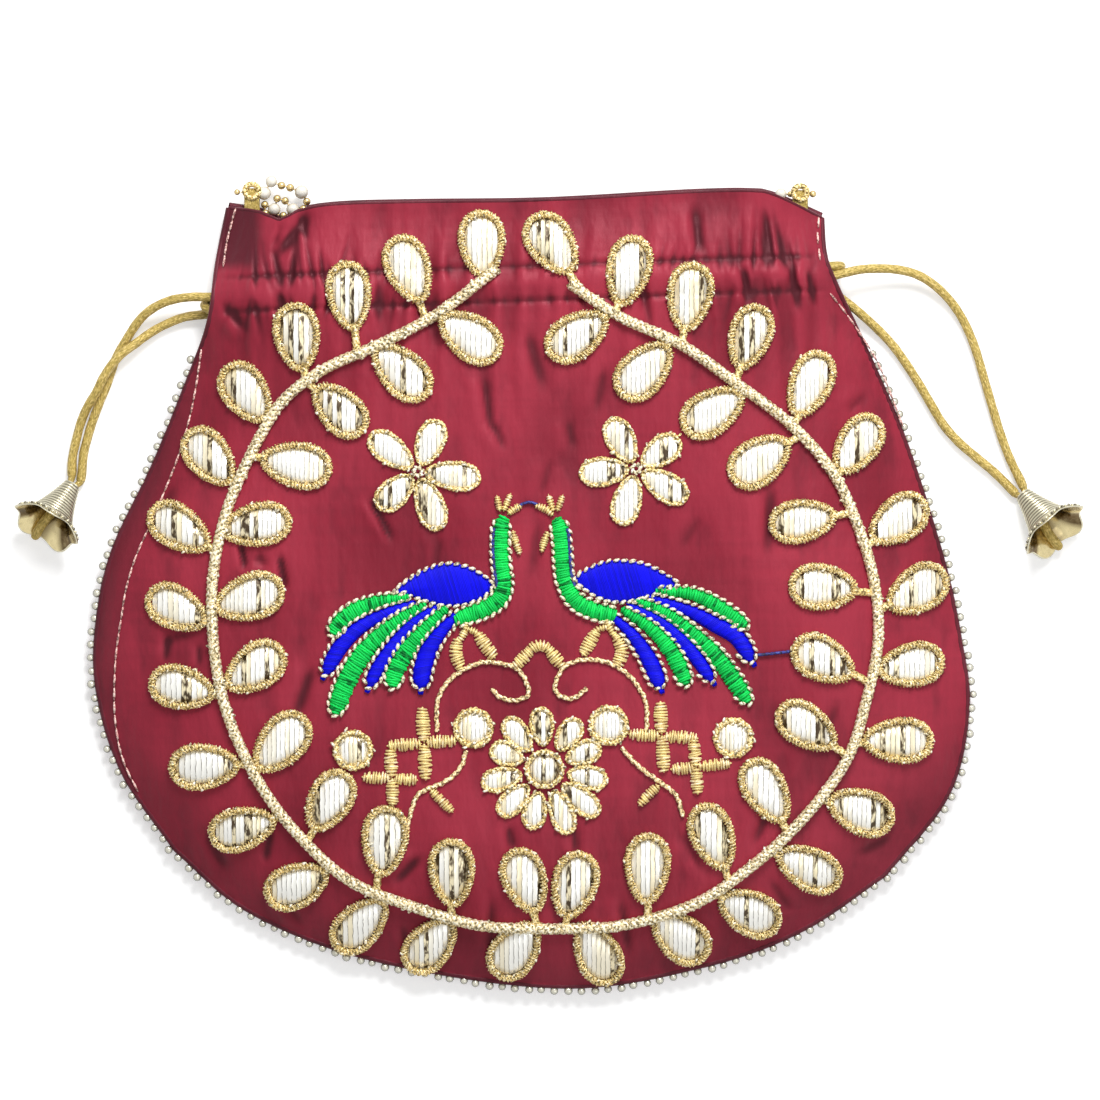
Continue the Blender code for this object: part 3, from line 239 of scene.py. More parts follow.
# Spindles of gold thread: from end to end, with the greatest width
SPINDLES = {
    "hanging_leaves_left": (
        ((-18.3, -9.4), (-18.6, -11.8), (-20.2, -14.4), 1.6),
        ((-20.4, -14.0), (-21.0, -18.0), (-19.4, -22.0), 3.0),
        ((-17.9, -11.2), (-15.6, -12.0), (-14.4, -13.4), 1.4),
        ((-14.8, -12.6), (-13.0, -15.6), (-10.6, -18.6), 3.2),
    ),
    "hanging_leaves_right": (
        ((20.2, -8.6), (21.6, -11.4), (23.0, -13.6), 1.6), ((22.8, -13.0), (24.6, -17.0), (23.0, -21.2), 3.2),
        ((20.4, -10.8), (18.0, -11.2), (17.0, -12.6), 1.4),
        ((17.4, -12.0), (15.6, -15.0), (13.9, -18.0), 3.0),
    ),
    "cross_inner_left": (
        ((-30.2, -33.2), (-30.0, -37.6), (-29.7, -41.6), 3.2),
        ((-29.7, -43.2), (-29.5, -47.6), (-29.3, -52.0), 3.2),
        ((-39.3, -43.2), (-35.4, -42.9), (-31.0, -42.6), 3.0),
        ((-28.6, -42.2), (-25.0, -42.0), (-21.4, -41.9), 3.0),
    ),
    "cross_outer_left": (
        ((-39.0, -44.6), (-38.8, -48.0), (-38.6, -51.2), 3.0),
        ((-38.5, -52.6), (-38.4, -55.8), (-38.4, -59.2), 3.0),
        ((-46.2, -51.8), (-42.8, -52.0), (-39.6, -52.0), 2.8),
        ((-37.4, -52.3), (-34.8, -52.4), (-32.1, -52.6), 2.8),
    ),
    "cross_inner_right": (
        ((35.1, -31.6), (35.2, -35.6), (35.4, -39.4), 3.2),
        ((35.5, -41.0), (35.8, -45.4), (36.0, -49.9), 3.2),
        ((26.9, -40.0), (30.6, -40.3), (34.4, -40.4), 3.0),
        ((36.6, -40.6), (40.6, -40.8), (44.8, -41.1), 3.0),
    ),
    "cross_outer_right": (
        ((44.2, -41.8), (44.5, -45.2), (44.8, -48.4), 3.0),
        ((44.9, -49.8), (45.1, -52.8), (45.3, -55.9), 3.0),
        ((38.4, -49.6), (41.2, -49.4), (44.0, -49.2), 2.8),
        ((46.0, -48.9), (50.0, -48.4), (54.0, -48.0), 2.8),
    ),
    "sprig_left": (((-27.6, -55.6), (-25.0, -58.2), (-22.2, -61.0), 2.2),),
    "sprig_right": (((34.4, -54.4), (32.0, -56.4), (29.6, -59.2), 2.2),),
    "scroll_peak": (
        ((-4.6, -21.2), (-2.4, -19.0), (-0.8, -17.4), 3.0), ((-1.2, -17.6), (1.8, -15.6), (4.8, -17.2), 2.6),
        ((4.4, -16.8), (6.2, -19.0), (7.8, -21.0), 3.0),
    ),
}

# Thin twisted threads sewn down along a line
LINES = {
    "scroll_left": ((-26.1, -39.2), (-26.1, -31.4), (-23.8, -26.4), (-20.2, -23.1), (-16.1, -21.0),
                    (-12.5, -20.2), (-8.4, -20.7), (-4.7, -21.8), (-2.3, -24.5), (-1.0, -28.7),
                    (-2.9, -30.3), (-6.0, -30.7), (-9.2, -29.6), (-11.2, -27.5)),
    "scroll_right": ((31.3, -39.2), (31.3, -32.2), (29.5, -27.8), (26.3, -23.7), (21.6, -20.7),
                     (17.2, -19.6), (12.5, -19.8), (8.4, -21.8), (6.2, -26.4), (6.8, -28.9),
                     (9.8, -30.3), (12.5, -29.5), (14.8, -27.4)),
    "sprig_left": ((-18.3, -44.6), (-19.7, -49.0), (-23.8, -52.9),
                   (-31.0, -56.2), (-33.2, -60.9), (-34.6, -66.4)),
    "sprig_right": ((24.4, -43.8), (29.3, -49.0), (35.7, -53.7), (39.5, -57.0), (41.2, -62.5)),
}
JUMPS = {
    "jump_middle": ((-4.6, 21.4), (-3.2, 22.9), (-0.9, 23.6), (1.4, 23.0)),
    "jump_right": ((60.5, -18.4), (64.9, -18.0), (70.7, -17.3)),
}

# Top stitching, a little inside the seam
TOP_STITCH = (
    ((-91.6, 64.5), (-93.0, 54.8), (-94.9, 45.7), (-97.9, 35.8), (-101.5, 26.7), (-105.1, 18.2),
     (-109.2, 9.1), (-112.0, 0.0), (-113.4, -8.5), (-114.9, -19.0), (-115.4, -32.5),
     (-114.5, -41.6), (-112.7, -48.5), (-109.8, -54.5)),
    ((83.0, 79.9), (88.2, 73.4), (95.3, 62.1), (101.6, 46.3)),
    ((-82.4, 103.2), (-84.2, 96.4), (-85.1, 90.2)),
    ((78.9, 101.0), (78.6, 97.0), (79.0, 92.0)),
)

# Drawcord routes in millimetres: a height is a number, or the layer of the casing it lies in
FRONT, BACK, OVER = "front", "back", "over"
CORD_ROUTES = {
    "left": (
        (-125.04, 29.63, 1.3), (-124.6, 33.2, 1.3), (-124.2, 37.3, 1.3), (-123.2, 41.3, 1.3),
        (-122.2, 44.8, 1.3), (-121.0, 48.2, 1.3), (-119.8, 51.4, 1.3), (-118.2, 55.2, 1.3),
        (-116.9, 58.8, 1.3), (-116.0, 61.6, 1.3), (-114.8, 64.6, 1.3), (-113.0, 67.6, 1.5),
        (-111.3, 70.4, 2.0), (-109.3, 73.3, 2.7), (-106.7, 76.0, 3.6), (-103.2, 78.2, 4.6),
        (-99.3, 79.6, 5.6), (-94.4, 80.3, 6.5), (-88.6, 80.3, 7.2), (-83.0, 80.3, FRONT),
        (-72.0, 80.8, FRONT), (-60.0, 81.4, FRONT), (-44.0, 82.2, FRONT),
        (-28.0, 83.1, FRONT), (-12.0, 83.9, FRONT), (4.0, 84.7, FRONT), (20.0, 85.5, FRONT),
        (36.0, 86.4, FRONT), (50.0, 87.1, FRONT), (62.0, 87.7, FRONT), (72.0, 88.2, FRONT),
        (78.0, 88.6, FRONT), (81.5, 88.8, 7.8), (84.2, 88.9, 6.8), (85.2, 88.9, 5.0),
        (84.2, 88.9, 3.2), (81.0, 88.8, 2.5), (74.0, 88.3, BACK), (60.0, 87.6, BACK),
        (44.0, 86.8, BACK), (28.0, 85.9, BACK), (19.0, 85.4, BACK), (10.0, 84.6, 4.3),
        (4.0, 83.4, OVER), (-4.0, 81.4, OVER), (-10.0, 80.1, 4.3), (-19.0, 79.4, BACK),
        (-28.0, 78.9, BACK), (-44.0, 78.0, BACK), (-60.0, 77.2, BACK), (-74.0, 76.5, BACK),
        (-83.0, 75.9, BACK), (-89.3, 75.7, 2.2), (-96.3, 74.9, 1.8), (-102.1, 72.6, 1.7),
        (-105.9, 70.4, 2.2), (-109.8, 67.5, 3.2), (-113.6, 64.6, 4.0), (-116.4, 61.5, 4.1),
        (-118.7, 57.9, 4.1), (-120.6, 54.0, 3.9), (-122.5, 51.0, 3.1), (-123.8, 48.6, 2.4),
        (-125.2, 45.0, 1.5), (-126.2, 41.2, 1.3), (-127.1, 37.3, 1.3), (-127.5, 34.0, 1.3),
        (-127.45, 31.03, 1.3),
    ),
    "right": (
        (133.58, 26.06, 1.3), (130.6, 29.2, 1.3), (127.0, 32.6, 1.3), (122.4, 36.4, 1.3),
        (117.8, 40.4, 1.3), (113.6, 45.2, 1.3), (110.2, 50.8, 1.3), (106.8, 56.6, 1.3),
        (103.2, 62.2, 1.3), (99.8, 66.9, 1.3), (95.7, 71.3, 1.6), (90.6, 75.9, 2.6),
        (86.4, 79.2, 3.3), (82.4, 81.9, 3.2), (77.0, 84.0, BACK), (68.0, 84.1, BACK),
        (54.0, 83.2, BACK), (40.0, 82.4, BACK), (26.0, 81.6, BACK), (14.0, 81.2, BACK),
        (6.0, 81.8, BACK), (0.0, 82.4, BACK), (-6.0, 83.0, BACK), (-14.0, 83.6, BACK),
        (-26.0, 83.4, BACK), (-40.0, 82.4, BACK), (-56.0, 81.6, BACK), (-70.0, 80.8, BACK),
        (-80.0, 80.2, BACK), (-86.6, 79.9, 2.7), (-90.0, 79.0, 3.6), (-90.6, 77.9, 5.0),
        (-89.2, 76.8, 6.6), (-85.6, 76.0, 8.0), (-80.0, 76.1, FRONT), (-70.0, 76.7, FRONT),
        (-58.0, 77.3, FRONT), (-42.0, 78.1, FRONT), (-26.0, 79.0, FRONT), (-10.0, 79.8, FRONT),
        (6.0, 80.6, FRONT), (22.0, 81.4, FRONT), (38.0, 82.3, FRONT), (52.0, 83.0, FRONT),
        (64.0, 83.6, FRONT), (72.0, 84.1, FRONT), (77.6, 84.8, FRONT), (82.4, 86.0, 7.8),
        (86.4, 87.0, 7.0), (90.5, 87.9, 6.3), (95.7, 88.2, 5.5), (101.0, 87.9, 4.6),
        (106.2, 86.6, 3.6), (110.8, 83.9, 2.8), (114.9, 80.1, 2.0), (118.1, 75.8, 1.5),
        (120.6, 71.0, 1.3), (122.6, 65.8, 1.3), (124.2, 60.4, 1.3), (125.8, 54.8, 1.3),
        (127.5, 49.0, 1.3), (129.2, 43.4, 1.3), (131.1, 38.0, 1.3), (133.2, 33.2, 1.3),
        (134.8, 30.2, 1.3), (135.74, 27.86, 1.3),
    ),
}
BELLS = {
    "left": ((-127.5, 28.2), (-0.509, -0.861)),
    "right": ((135.8, 25.6), (0.640, -0.768)),
}
HANDLE_INSIDE = (
    (-69.6, 101.4), (-66.0, 97.0), (-62.6, 92.0), (-60.8, 86.0), (-60.0, 78.0),
    (-58.6, 70.0), (-56.5, 60.0), (-52.0, 48.0), (-43.0, 36.0), (-28.0, 27.5),
    (-9.0, 24.0), (10.0, 24.0), (29.0, 27.5), (45.0, 36.0), (55.0, 48.0), (60.0, 62.0),
    (63.0, 74.0), (64.5, 83.0), (65.5, 93.0), (66.2, 101.0), (66.8, 105.4),
)
HANDLE_TABS = {"left": (-77.5, 109.3), "right": (73.9, 108.8)}

# Beads that show past the lip, in their order on the thread: place, size and kind
HANDLE_SHOWN = {
    "left": (
        (-81.6, 109.3, 1.7, "gold"), (-74.2, 109.1, 3.9, "pearl"), (-72.2, 112.3, 3.3, "pearl"),
        (-69.4, 111.2, 2.3, "gold"), (-67.0, 110.6, 2.3, "gold"), (-63.9, 109.4, 3.9, "pearl"),
        (-62.4, 106.8, 2.2, "gold"), (-63.4, 104.8, 2.2, "gold"), (-66.3, 104.6, 3.6, "pearl"),
        (-68.4, 107.0, 2.2, "gold"), (-70.6, 107.6, 2.2, "gold"), (-71.4, 104.6, 3.6, "pearl"),
        (-74.0, 105.9, 2.2, "gold"), (-73.8, 103.6, 2.0, "gold"), (-68.9, 102.9, 2.2, "gold"),
        (-64.4, 102.9, 2.0, "gold"),
    ),
    "right": ((68.6, 108.8, 3.3, "pearl"), (71.2, 108.8, 1.7, "gold"), (77.4, 108.8, 2.0, "gold")),
}


def smooth_curve(points, step):
    """Points at an even step along a Catmull-Rom curve through the given ones."""
    given = np.array(points, float)
    ends = np.vstack([2 * given[0] - given[1], given, 2 * given[-1] - given[-2]])
    t = np.linspace(0, 1, 13)[:-1, None]
    fine = []
    for before, start, stop, after in zip(ends, ends[1:], ends[2:], ends[3:]):
        slope_in = (stop - before) / 2
        slope_out = (after - start) / 2
        fine.append(
            (2 * t**3 - 3 * t**2 + 1) * start
            + (t**3 - 2 * t**2 + t) * slope_in
            + (3 * t**2 - 2 * t**3) * stop
            + (t**3 - t**2) * slope_out
        )
    return even_steps(np.vstack([*fine, given[-1:]]), step)


def lengths_along(line):
    return np.concatenate([[0], np.cumsum(np.linalg.norm(np.diff(line, axis=0), axis=1))])


def even_steps(line, step):
    run = lengths_along(line)
    at = np.linspace(0, run[-1], max(2, round(run[-1] / step) + 1))
    return np.column_stack([np.interp(at, run, line[:, k]) for k in range(line.shape[1])])


def closed_curve(points, step):
    """Points at an even step round a smooth closed outline, the first one repeated at the end."""
    given = [tuple(p) for p in points]
    around = given[-2:] + given + given[:3]
    line = smooth_curve(around, step / 6)
    start, stop = np.array(given[0]), len(line)
    first = int(np.argmin(np.linalg.norm(line[: stop // 2] - start, axis=1)))
    last = stop // 2 + int(np.argmin(np.linalg.norm(line[stop // 2:] - start, axis=1)))
    return even_steps(np.vstack([line[first:last], line[first:first + 1]]), step)


def millimetres(points):
    return np.array(points, float) * MM


def smoothstep(low, high, value):
    t = np.clip((value - low) / (high - low), 0, 1)
    return t * t * (3 - 2 * t)


OUTLINE_STEP = 0.003
SIDES = {
    "left": smooth_curve(millimetres(LEFT_SIDE), OUTLINE_STEP)[::-1],
    "right": smooth_curve(millimetres(RIGHT_SIDE), OUTLINE_STEP),
    "bottom": smooth_curve(millimetres(BOTTOM), OUTLINE_STEP),
    "lip": smooth_curve(millimetres(LIP), OUTLINE_STEP),
}
SEAM = np.vstack([SIDES["left"][::-1], SIDES["bottom"][1:-1], SIDES["right"]])


class HeightMap:
    """Values of a function of x and y, kept on an even grid and read between its points."""

    def __init__(self, function, spacing):
        self.low = np.array((-0.142, -0.116))
        self.spacing = spacing
        counts = np.round((np.array((0.142, 0.122)) - self.low) / spacing).astype(int) + 1
        x = self.low[0] + spacing * np.arange(counts[0])
        rows = [function(x, np.full(len(x), self.low[1] + spacing * j)) for j in range(counts[1])]
        self.values = np.array(rows)

    def __call__(self, x, y):
        limit = np.array(self.values.shape)[::-1] - 1.001
        across = np.clip((np.asarray(x, float) - self.low[0]) / self.spacing, 0, limit[0])
        up = np.clip((np.asarray(y, float) - self.low[1]) / self.spacing, 0, limit[1])
        i, j = across.astype(int), up.astype(int)
        a, b = across - i, up - j
        v = self.values
        low = v[j, i] * (1 - a) + v[j, i + 1] * a
        high = v[j + 1, i] * (1 - a) + v[j + 1, i + 1] * a
        return low * (1 - b) + high * b


def measured_seam_distance(x, y):
    points = np.column_stack([x, y])[:, None]
    start = SEAM[:-1][None]
    along = (SEAM[1:] - SEAM[:-1])[None]
    t = ((points - start) * along).sum(2) / (along**2).sum(2)
    nearest = start + np.clip(t, 0, 1)[..., None] * along
    return np.linalg.norm(points - nearest, axis=2).min(1)


seam_distance = HeightMap(measured_seam_distance, 0.001)


def above_casing(x, y):
    return y - CASING_FROM_ORIGIN - CASING_RISE * x


def slit_opening(x, y):
    return np.exp(-((above_casing(x, y) / SIDE_SLIT_LENGTH) ** 2))


def front_height(x, y):
    """Height of the front panel's outside, without gathers and folds."""
    s = above_casing(x, y)
    to_casing = smoothstep(-0.060, 0, s)
    to_lip = smoothstep(0, 0.024, s)
    crown = BODY_THICKNESS + (CASING_THICKNESS - BODY_THICKNESS) * to_casing
    crown = crown + (LIP_THICKNESS - CASING_THICKNESS) * to_lip
    reach = BODY_EDGE_ROUND + (MOUTH_EDGE_ROUND - BODY_EDGE_ROUND) * smoothstep(-0.050, 0, s)
    edge = SEAM_HEIGHT + SEAM_SPREAD + SIDE_SLIT_LIFT * slit_opening(x, y)
    rise = 1 - (1 - np.clip(seam_distance(x, y) / reach, 0, 1)) ** 2.5
    return edge + (crown - edge) * rise


def gather_depth(x, y):
    s = above_casing(x, y)
    reach = np.where(s > 0, GATHER_REACH_UP, GATHER_REACH_DOWN)
    fade = np.clip(seam_distance(x, y) / GATHER_FADE, 0, 1)
    return GATHER_DEPTH * fade * np.exp(-((s / reach) ** 2))


def back_height(x, y):
    edge = (SEAM_HEIGHT - SEAM_SPREAD) * (1 - slit_opening(x, y))
    return edge * (1 - np.clip(seam_distance(x, y) / BACK_EDGE_ROUND, 0, 1)) ** 2


def tunnel(x, y):
    s = np.abs(above_casing(x, y))
    width = smoothstep(CASING_HEIGHT + 0.001, CASING_HEIGHT - 0.005, s)
    return width * (CORD_DIAMETER + 2 * TUNNEL_CLEARANCE - LINING_GAP)


def front_layer(x, y):
    under = front_height(x, y) - gather_depth(x, y) - PANEL_CLOTH
    return under - TUNNEL_CLEARANCE - CORD_DIAMETER / 2


def back_layer(x, y):
    return back_height(x, y) + PANEL_CLOTH + TUNNEL_CLEARANCE + CORD_DIAMETER / 2


def lining_front_height(x, y):
    outside = front_height(x, y) - gather_depth(x, y)
    return outside - PANEL_CLOTH - LINING_GAP - tunnel(x, y)


def lining_back_height(x, y):
    crossing = smoothstep(CORD_CROSSING_REACH + CORD_CROSSING_FADE, CORD_CROSSING_REACH, np.abs(x))
    s = np.abs(above_casing(x, y))
    crossing = crossing * smoothstep(CASING_HEIGHT + 0.001, CASING_HEIGHT - 0.005, s)
    room = tunnel(x, y) + crossing * (CORD_DIAMETER + 2 * CLEARANCE)
    return back_height(x, y) + PANEL_CLOTH + LINING_GAP + room


def crease(x, y, start, end, width, depth):
    """A valley between two places, with a soft ridge beside it."""
    start, end = millimetres(start), millimetres(end)
    ahead = end - start
    length = np.linalg.norm(ahead)
    ahead = ahead / length
    t = ((x - start[0]) * ahead[0] + (y - start[1]) * ahead[1]) / length
    off = (x - start[0]) * ahead[1] - (y - start[1]) * ahead[0]
    width = width * MM
    fade = smoothstep(-0.05, 0.3, t) * smoothstep(1.05, 0.6, t)
    valley = np.exp(-((off / width) ** 2)) - 0.55 * np.exp(-(((off - 2.1 * width) / (1.5 * width)) ** 2))
    return -depth * MM * fade * valley


def from_casing_middle(x, y):
    """Distance up from the middle of the casing as it is stitched."""
    return above_casing(x, y) - 0.0014 + 0.015 * x


def casing_puckers():
    """Pinches along both stitch rows: place, row, half width, depth, reach past it and slant."""
    chance = np.random.default_rng(11)
    found = []
    for row in (-1, 1):
        x = -84.0
        while x < 79.0:
            crowded = math.exp(-(((x + 66) / 22) ** 2)) + math.exp(-(((x - 64) / 18) ** 2))
            found.append((
                x * MM, row, chance.uniform(0.55, 1.1) * MM,
                chance.uniform(0.35, 0.9) * (0.7 + 0.7 * crowded) * MM,
                chance.uniform(2.5, 5.0 + 7.0 * crowded) * MM, chance.uniform(-0.3, 0.3),
            ))
            x += chance.uniform(2.2, 5.0) * (1.1 - 0.35 * crowded)
    return found


STITCH_ROW = 0.0047
PUCKERS = casing_puckers()
PUCKER_ZONE = 0.030
MOST_RELIEF = 0.0012


def folds_and_pinches(x, y):
    """Dips of the stitch rows, the pinches along them and the single folds."""
    middle = from_casing_middle(x, y)
    inside = np.clip(seam_distance(x, y) / GATHER_FADE, 0, 1)
    z = -0.0006 * inside * np.exp(-(((np.abs(middle) - STITCH_ROW) / 0.0008) ** 2))
    if np.abs(middle).min() < PUCKER_ZONE:
        for place, row, width, dip, reach, slant in PUCKERS:
            past = row * middle - STITCH_ROW
            off = x - place - slant * past
            length = np.where(past > 0, reach, 0.0034)
            z = z - inside * dip * np.exp(-((off / width) ** 2) - (past / length) ** 2)
    for fold in FOLDS:
        z = z + 1.35 * crease(x, y, *fold) * np.clip(inside * 1.6, 0, 1)
    return z


folds = HeightMap(folds_and_pinches, 0.0005)


def folded_front(x, y):
    """Height of the front with its gathers, stitch rows, pinches and soft swells."""
    s = above_casing(x, y)
    middle = from_casing_middle(x, y)
    inside = np.clip(seam_distance(x, y) / GATHER_FADE, 0, 1)
    depth = gather_depth(x, y) * (0.75 + 0.35 * np.sin(x * 83 + 1) * np.sin(x * 37))
    wander = 0.0022 * np.sin(x * 70 + 0.6) + 0.0015 * np.sin(x * 151 + 2.0)
    z = 0.50 * depth * np.cos(2 * math.pi * (x + wander) / 0.0091 + 9 * s)
    z = z + 0.28 * depth * np.cos(2 * math.pi * (x - wander) / 0.0053 - 14 * s)
    z = z + 0.0008 * inside * np.exp(-((middle / 0.0032) ** 2)) + folds(x, y)
    near_lip = smoothstep(0.010, 0.024, s)
    z = z + 0.00035 * near_lip * inside * np.sin(x * 230 + 1.2 * np.sin(x * 95))
    broad = 0.00035 * np.sin(x * 88 + y * 63 + 1) + 0.0003 * np.sin(x * 61 - y * 104 + 2)
    broad = broad + 0.00020 * np.sin(x * 190 + 1.5 * np.sin(y * 70)) * np.cos(y * 54 + 1)
    z = z + inside * broad
    return front_height(x, y) + MOST_RELIEF * np.tanh(z / MOST_RELIEF)


front_surface = HeightMap(folded_front, 0.0005)


def along_side(name, t):
    line = SIDES[name]
    at = t * (len(line) - 1)
    return np.column_stack([np.interp(at, np.arange(len(line)), line[:, k]) for k in (0, 1)])


def panel_point(u, v):
    """Coons patch: u runs from the left seam to the right, v from the bottom to the lip."""
    across = (1 - v)[:, None] * along_side("bottom", u) + v[:, None] * along_side("lip", u)
    up = (1 - u)[:, None] * along_side("left", v) + u[:, None] * along_side("right", v)
    corners = 0
    for share, side, end in (
        ((1 - u) * (1 - v), "left", 0), (u * (1 - v), "right", 0),
        ((1 - u) * v, "left", -1), (u * v, "right", -1),
    ):
        corners = corners + share[:, None] * SIDES[side][end]
    return across + up - corners


def on_cloth(flat, lift):
    """Places on the front, raised by a lift."""
    flat = np.asarray(flat, float)
    return np.column_stack([flat, front_surface(flat[:, 0], flat[:, 1]) + lift])


def beside(line):
    """Unit vectors ahead along a line and to its left, level with the ground."""
    ahead = np.gradient(line, axis=0)
    ahead /= np.maximum(np.linalg.norm(ahead, axis=1), 1e-9)[:, None]
    left = np.column_stack([-ahead[:, 1], ahead[:, 0], np.zeros(len(line))])
    left /= np.maximum(np.linalg.norm(left, axis=1), 1e-9)[:, None]
    return ahead, left


TEMPLATES = {}


def template(kind, *size):
    """A mesh of a grid or a small ball that many pieces take their faces from."""
    key = (kind, *size)
    if key not in TEMPLATES:
        bm = bmesh.new()
        if kind == "grid":
            bmesh.ops.create_grid(bm, x_segments=size[0], y_segments=size[1], size=0.5)
        elif kind == "ball":
            bmesh.ops.create_uvsphere(bm, u_segments=size[0], v_segments=size[1], radius=1)
        else:
            bmesh.ops.create_icosphere(bm, subdivisions=1, radius=1)
        mesh = bpy.data.meshes.new("template")
        bm.to_mesh(mesh)
        bm.free()
        spots = np.empty(len(mesh.vertices) * 3)
        mesh.vertices.foreach_get("co", spots)
        TEMPLATES[key] = (mesh, spots.reshape(-1, 3))
    return TEMPLATES[key]


class Work:
    """Gathers many small shapes of one finish, with marks that the material reads."""

    def __init__(self, *marks):
        self.bm = bmesh.new()
        self.places = []
        self.marks = {mark: [] for mark in marks}

    def add(self, mesh, places, **marks):
        self.bm.from_mesh(mesh)
        self.places.append(places)
        for mark, kept in self.marks.items():
            kept.append(np.broadcast_to(marks.get(mark, 0.0), len(places)))

    def grid(self, points, **marks):
        """Lays a grid over points of shape (rows, columns, 3)."""
        rows, columns = points.shape[:2]
        mesh, spots = template("grid", columns - 1, rows - 1)
        i = np.round((spots[:, 0] + 0.5) * (columns - 1)).astype(int)
        j = np.round((spots[:, 1] + 0.5) * (rows - 1)).astype(int)
        picked = {k: np.broadcast_to(v, (rows, columns))[j, i] for k, v in marks.items()}
        self.add(mesh, points[j, i], **picked)

    def ball(self, centre, radius, segments=8, rings=6, **marks):
        mesh, spots = template("ball", segments, rings)
        self.add(mesh, spots * radius + np.asarray(centre), **marks)

    def grain(self, centre, ahead, length, width, **marks):
        """A short fat stitch lying along a direction."""
        mesh, spots = template("grain")
        ahead = np.asarray(ahead) / np.linalg.norm(ahead)
        left = np.array((-ahead[1], ahead[0], 0.0))
        left /= max(np.linalg.norm(left), 1e-9)
        up = np.cross(ahead, left)
        shape = spots * (length / 2, width / 2, width / 2)
        self.add(mesh, np.asarray(centre) + shape @ np.array((ahead, left, up)), **marks)

    def tube(self, line, radius, sides=6, **marks):
        """A round thread along a line that never stands upright."""
        ahead, left = beside(line)
        up = np.cross(ahead, left)
        turn = np.linspace(0, 2 * math.pi, sides + 1)
        radius = np.broadcast_to(radius, len(line))[:, None, None]
        round_it = left[:, None] * np.cos(turn)[:, None] + up[:, None] * np.sin(turn)[:, None]
        run = lengths_along(line)[:, None]
        self.grid(line[:, None] + radius * round_it, run=run, turn=turn / (2 * math.pi), **marks)

    def rope(self, line, radius, pitch, strands=2, thickness=0.58, sides=5, **marks):
        """Strands laid round each other along a line."""
        ahead, left = beside(line)
        up = np.cross(ahead, left)
        run = lengths_along(line)
        radius = np.broadcast_to(radius, len(line))
        for k in range(strands):
            angle = 2 * math.pi * (run / pitch + k / strands)
            away = (radius * (1 - thickness))[:, None]
            path = line + away * (left * np.cos(angle)[:, None] + up * np.sin(angle)[:, None])
            self.tube(path, radius * thickness, sides, strand=float(k), **marks)

    def finish(self, name, finish, body="bag", weld=True):
        """Makes the object, with its marks as attributes and its doubled points merged."""
        mesh = bpy.data.meshes.new(name)
        self.bm.to_mesh(mesh)
        self.bm.free()
        mesh.vertices.foreach_set("co", np.concatenate(self.places).ravel())
        for mark, kept in self.marks.items():
            layer = mesh.attributes.new(mark, "FLOAT", "POINT")
            layer.data.foreach_set("value", np.concatenate(kept).astype(np.float32))
        if weld:
            bm = bmesh.new()
            bm.from_mesh(mesh)
            bmesh.ops.remove_doubles(bm, verts=bm.verts, dist=1e-6)
            bmesh.ops.dissolve_degenerate(bm, edges=bm.edges, dist=1e-7)
            bm.to_mesh(mesh)
            bm.free()
        mesh.update()
        mesh.shade_smooth()
        return keep_object(name, mesh, finish, body)


def keep_object(name, data, finish, body="bag"):
    obj = bpy.data.objects.new(name, data)
    data.materials.append(finish)
    bpy.context.scene.collection.objects.link(obj)
    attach(obj, body)
    return obj


# Materials
def new_material(name):
    made = bpy.data.materials.new(name)
    made.use_nodes = True
    return made, made.node_tree, made.node_tree.nodes["Principled BSDF"]


def link_value(tree, socket, value):
    """Joins an output to a socket, or sets the socket to a plain value."""
    if isinstance(value, bpy.types.NodeSocket):
        tree.links.new(value, socket)
    elif hasattr(value, "__len__") and len(value) == 3 and len(socket.default_value) == 4:
        socket.default_value = (*value, 1)
    else:
        socket.default_value = value


def node(tree, kind, values=(), **settings):
    made = tree.nodes.new(kind)
    for key, value in settings.items():
        setattr(made, key, value)
    for key, value in dict(values).items():
        link_value(tree, made.inputs[key], value)
    return made


def math_node(tree, operation, a, b=0.0, c=0.0, clamp=False):
    made = node(tree, "ShaderNodeMath", operation=operation, use_clamp=clamp)
    for socket, value in zip(made.inputs, (a, b, c)):
        link_value(tree, socket, value)
    return made.outputs[0]


def mixed(tree, factor, a, b, blend="MIX"):
    made = node(tree, "ShaderNodeMix", data_type="RGBA", blend_type=blend)
    for name, value in (("Factor_Float", factor), ("A_Color", a), ("B_Color", b)):
        socket = next(s for s in made.inputs if s.identifier == name)
        link_value(tree, socket, value)
    return next(s for s in made.outputs if s.identifier == "Result_Color")


def ranged(tree, value, low, high, to_low=0.0, to_high=1.0):
    made = node(tree, "ShaderNodeMapRange", {
        "Value": value, "From Min": low, "From Max": high, "To Min": to_low, "To Max": to_high,
    })
    return made.outputs[0]


def mark_value(tree, mark):
    return node(tree, "ShaderNodeAttribute", attribute_name=mark).outputs["Fac"]


def object_place(tree, stretch=(1, 1, 1)):
    place = node(tree, "ShaderNodeTexCoord").outputs["Object"]
    return node(tree, "ShaderNodeMapping", {"Vector": place, "Scale": stretch}).outputs[0]


def noise(tree, scale, stretch=(1, 1, 1), detail=2.0, vector=None):
    vector = vector or object_place(tree, stretch)
    made = node(tree, "ShaderNodeTexNoise", {"Vector": vector, "Scale": scale, "Detail": detail})
    return made.outputs["Fac"]


def bumped(tree, shader, height, strength, distance):
    made = node(tree, "ShaderNodeBump", {
        "Height": height, "Strength": strength, "Distance": distance,
    })
    tree.links.new(made.outputs[0], shader.inputs["Normal"])
    return made


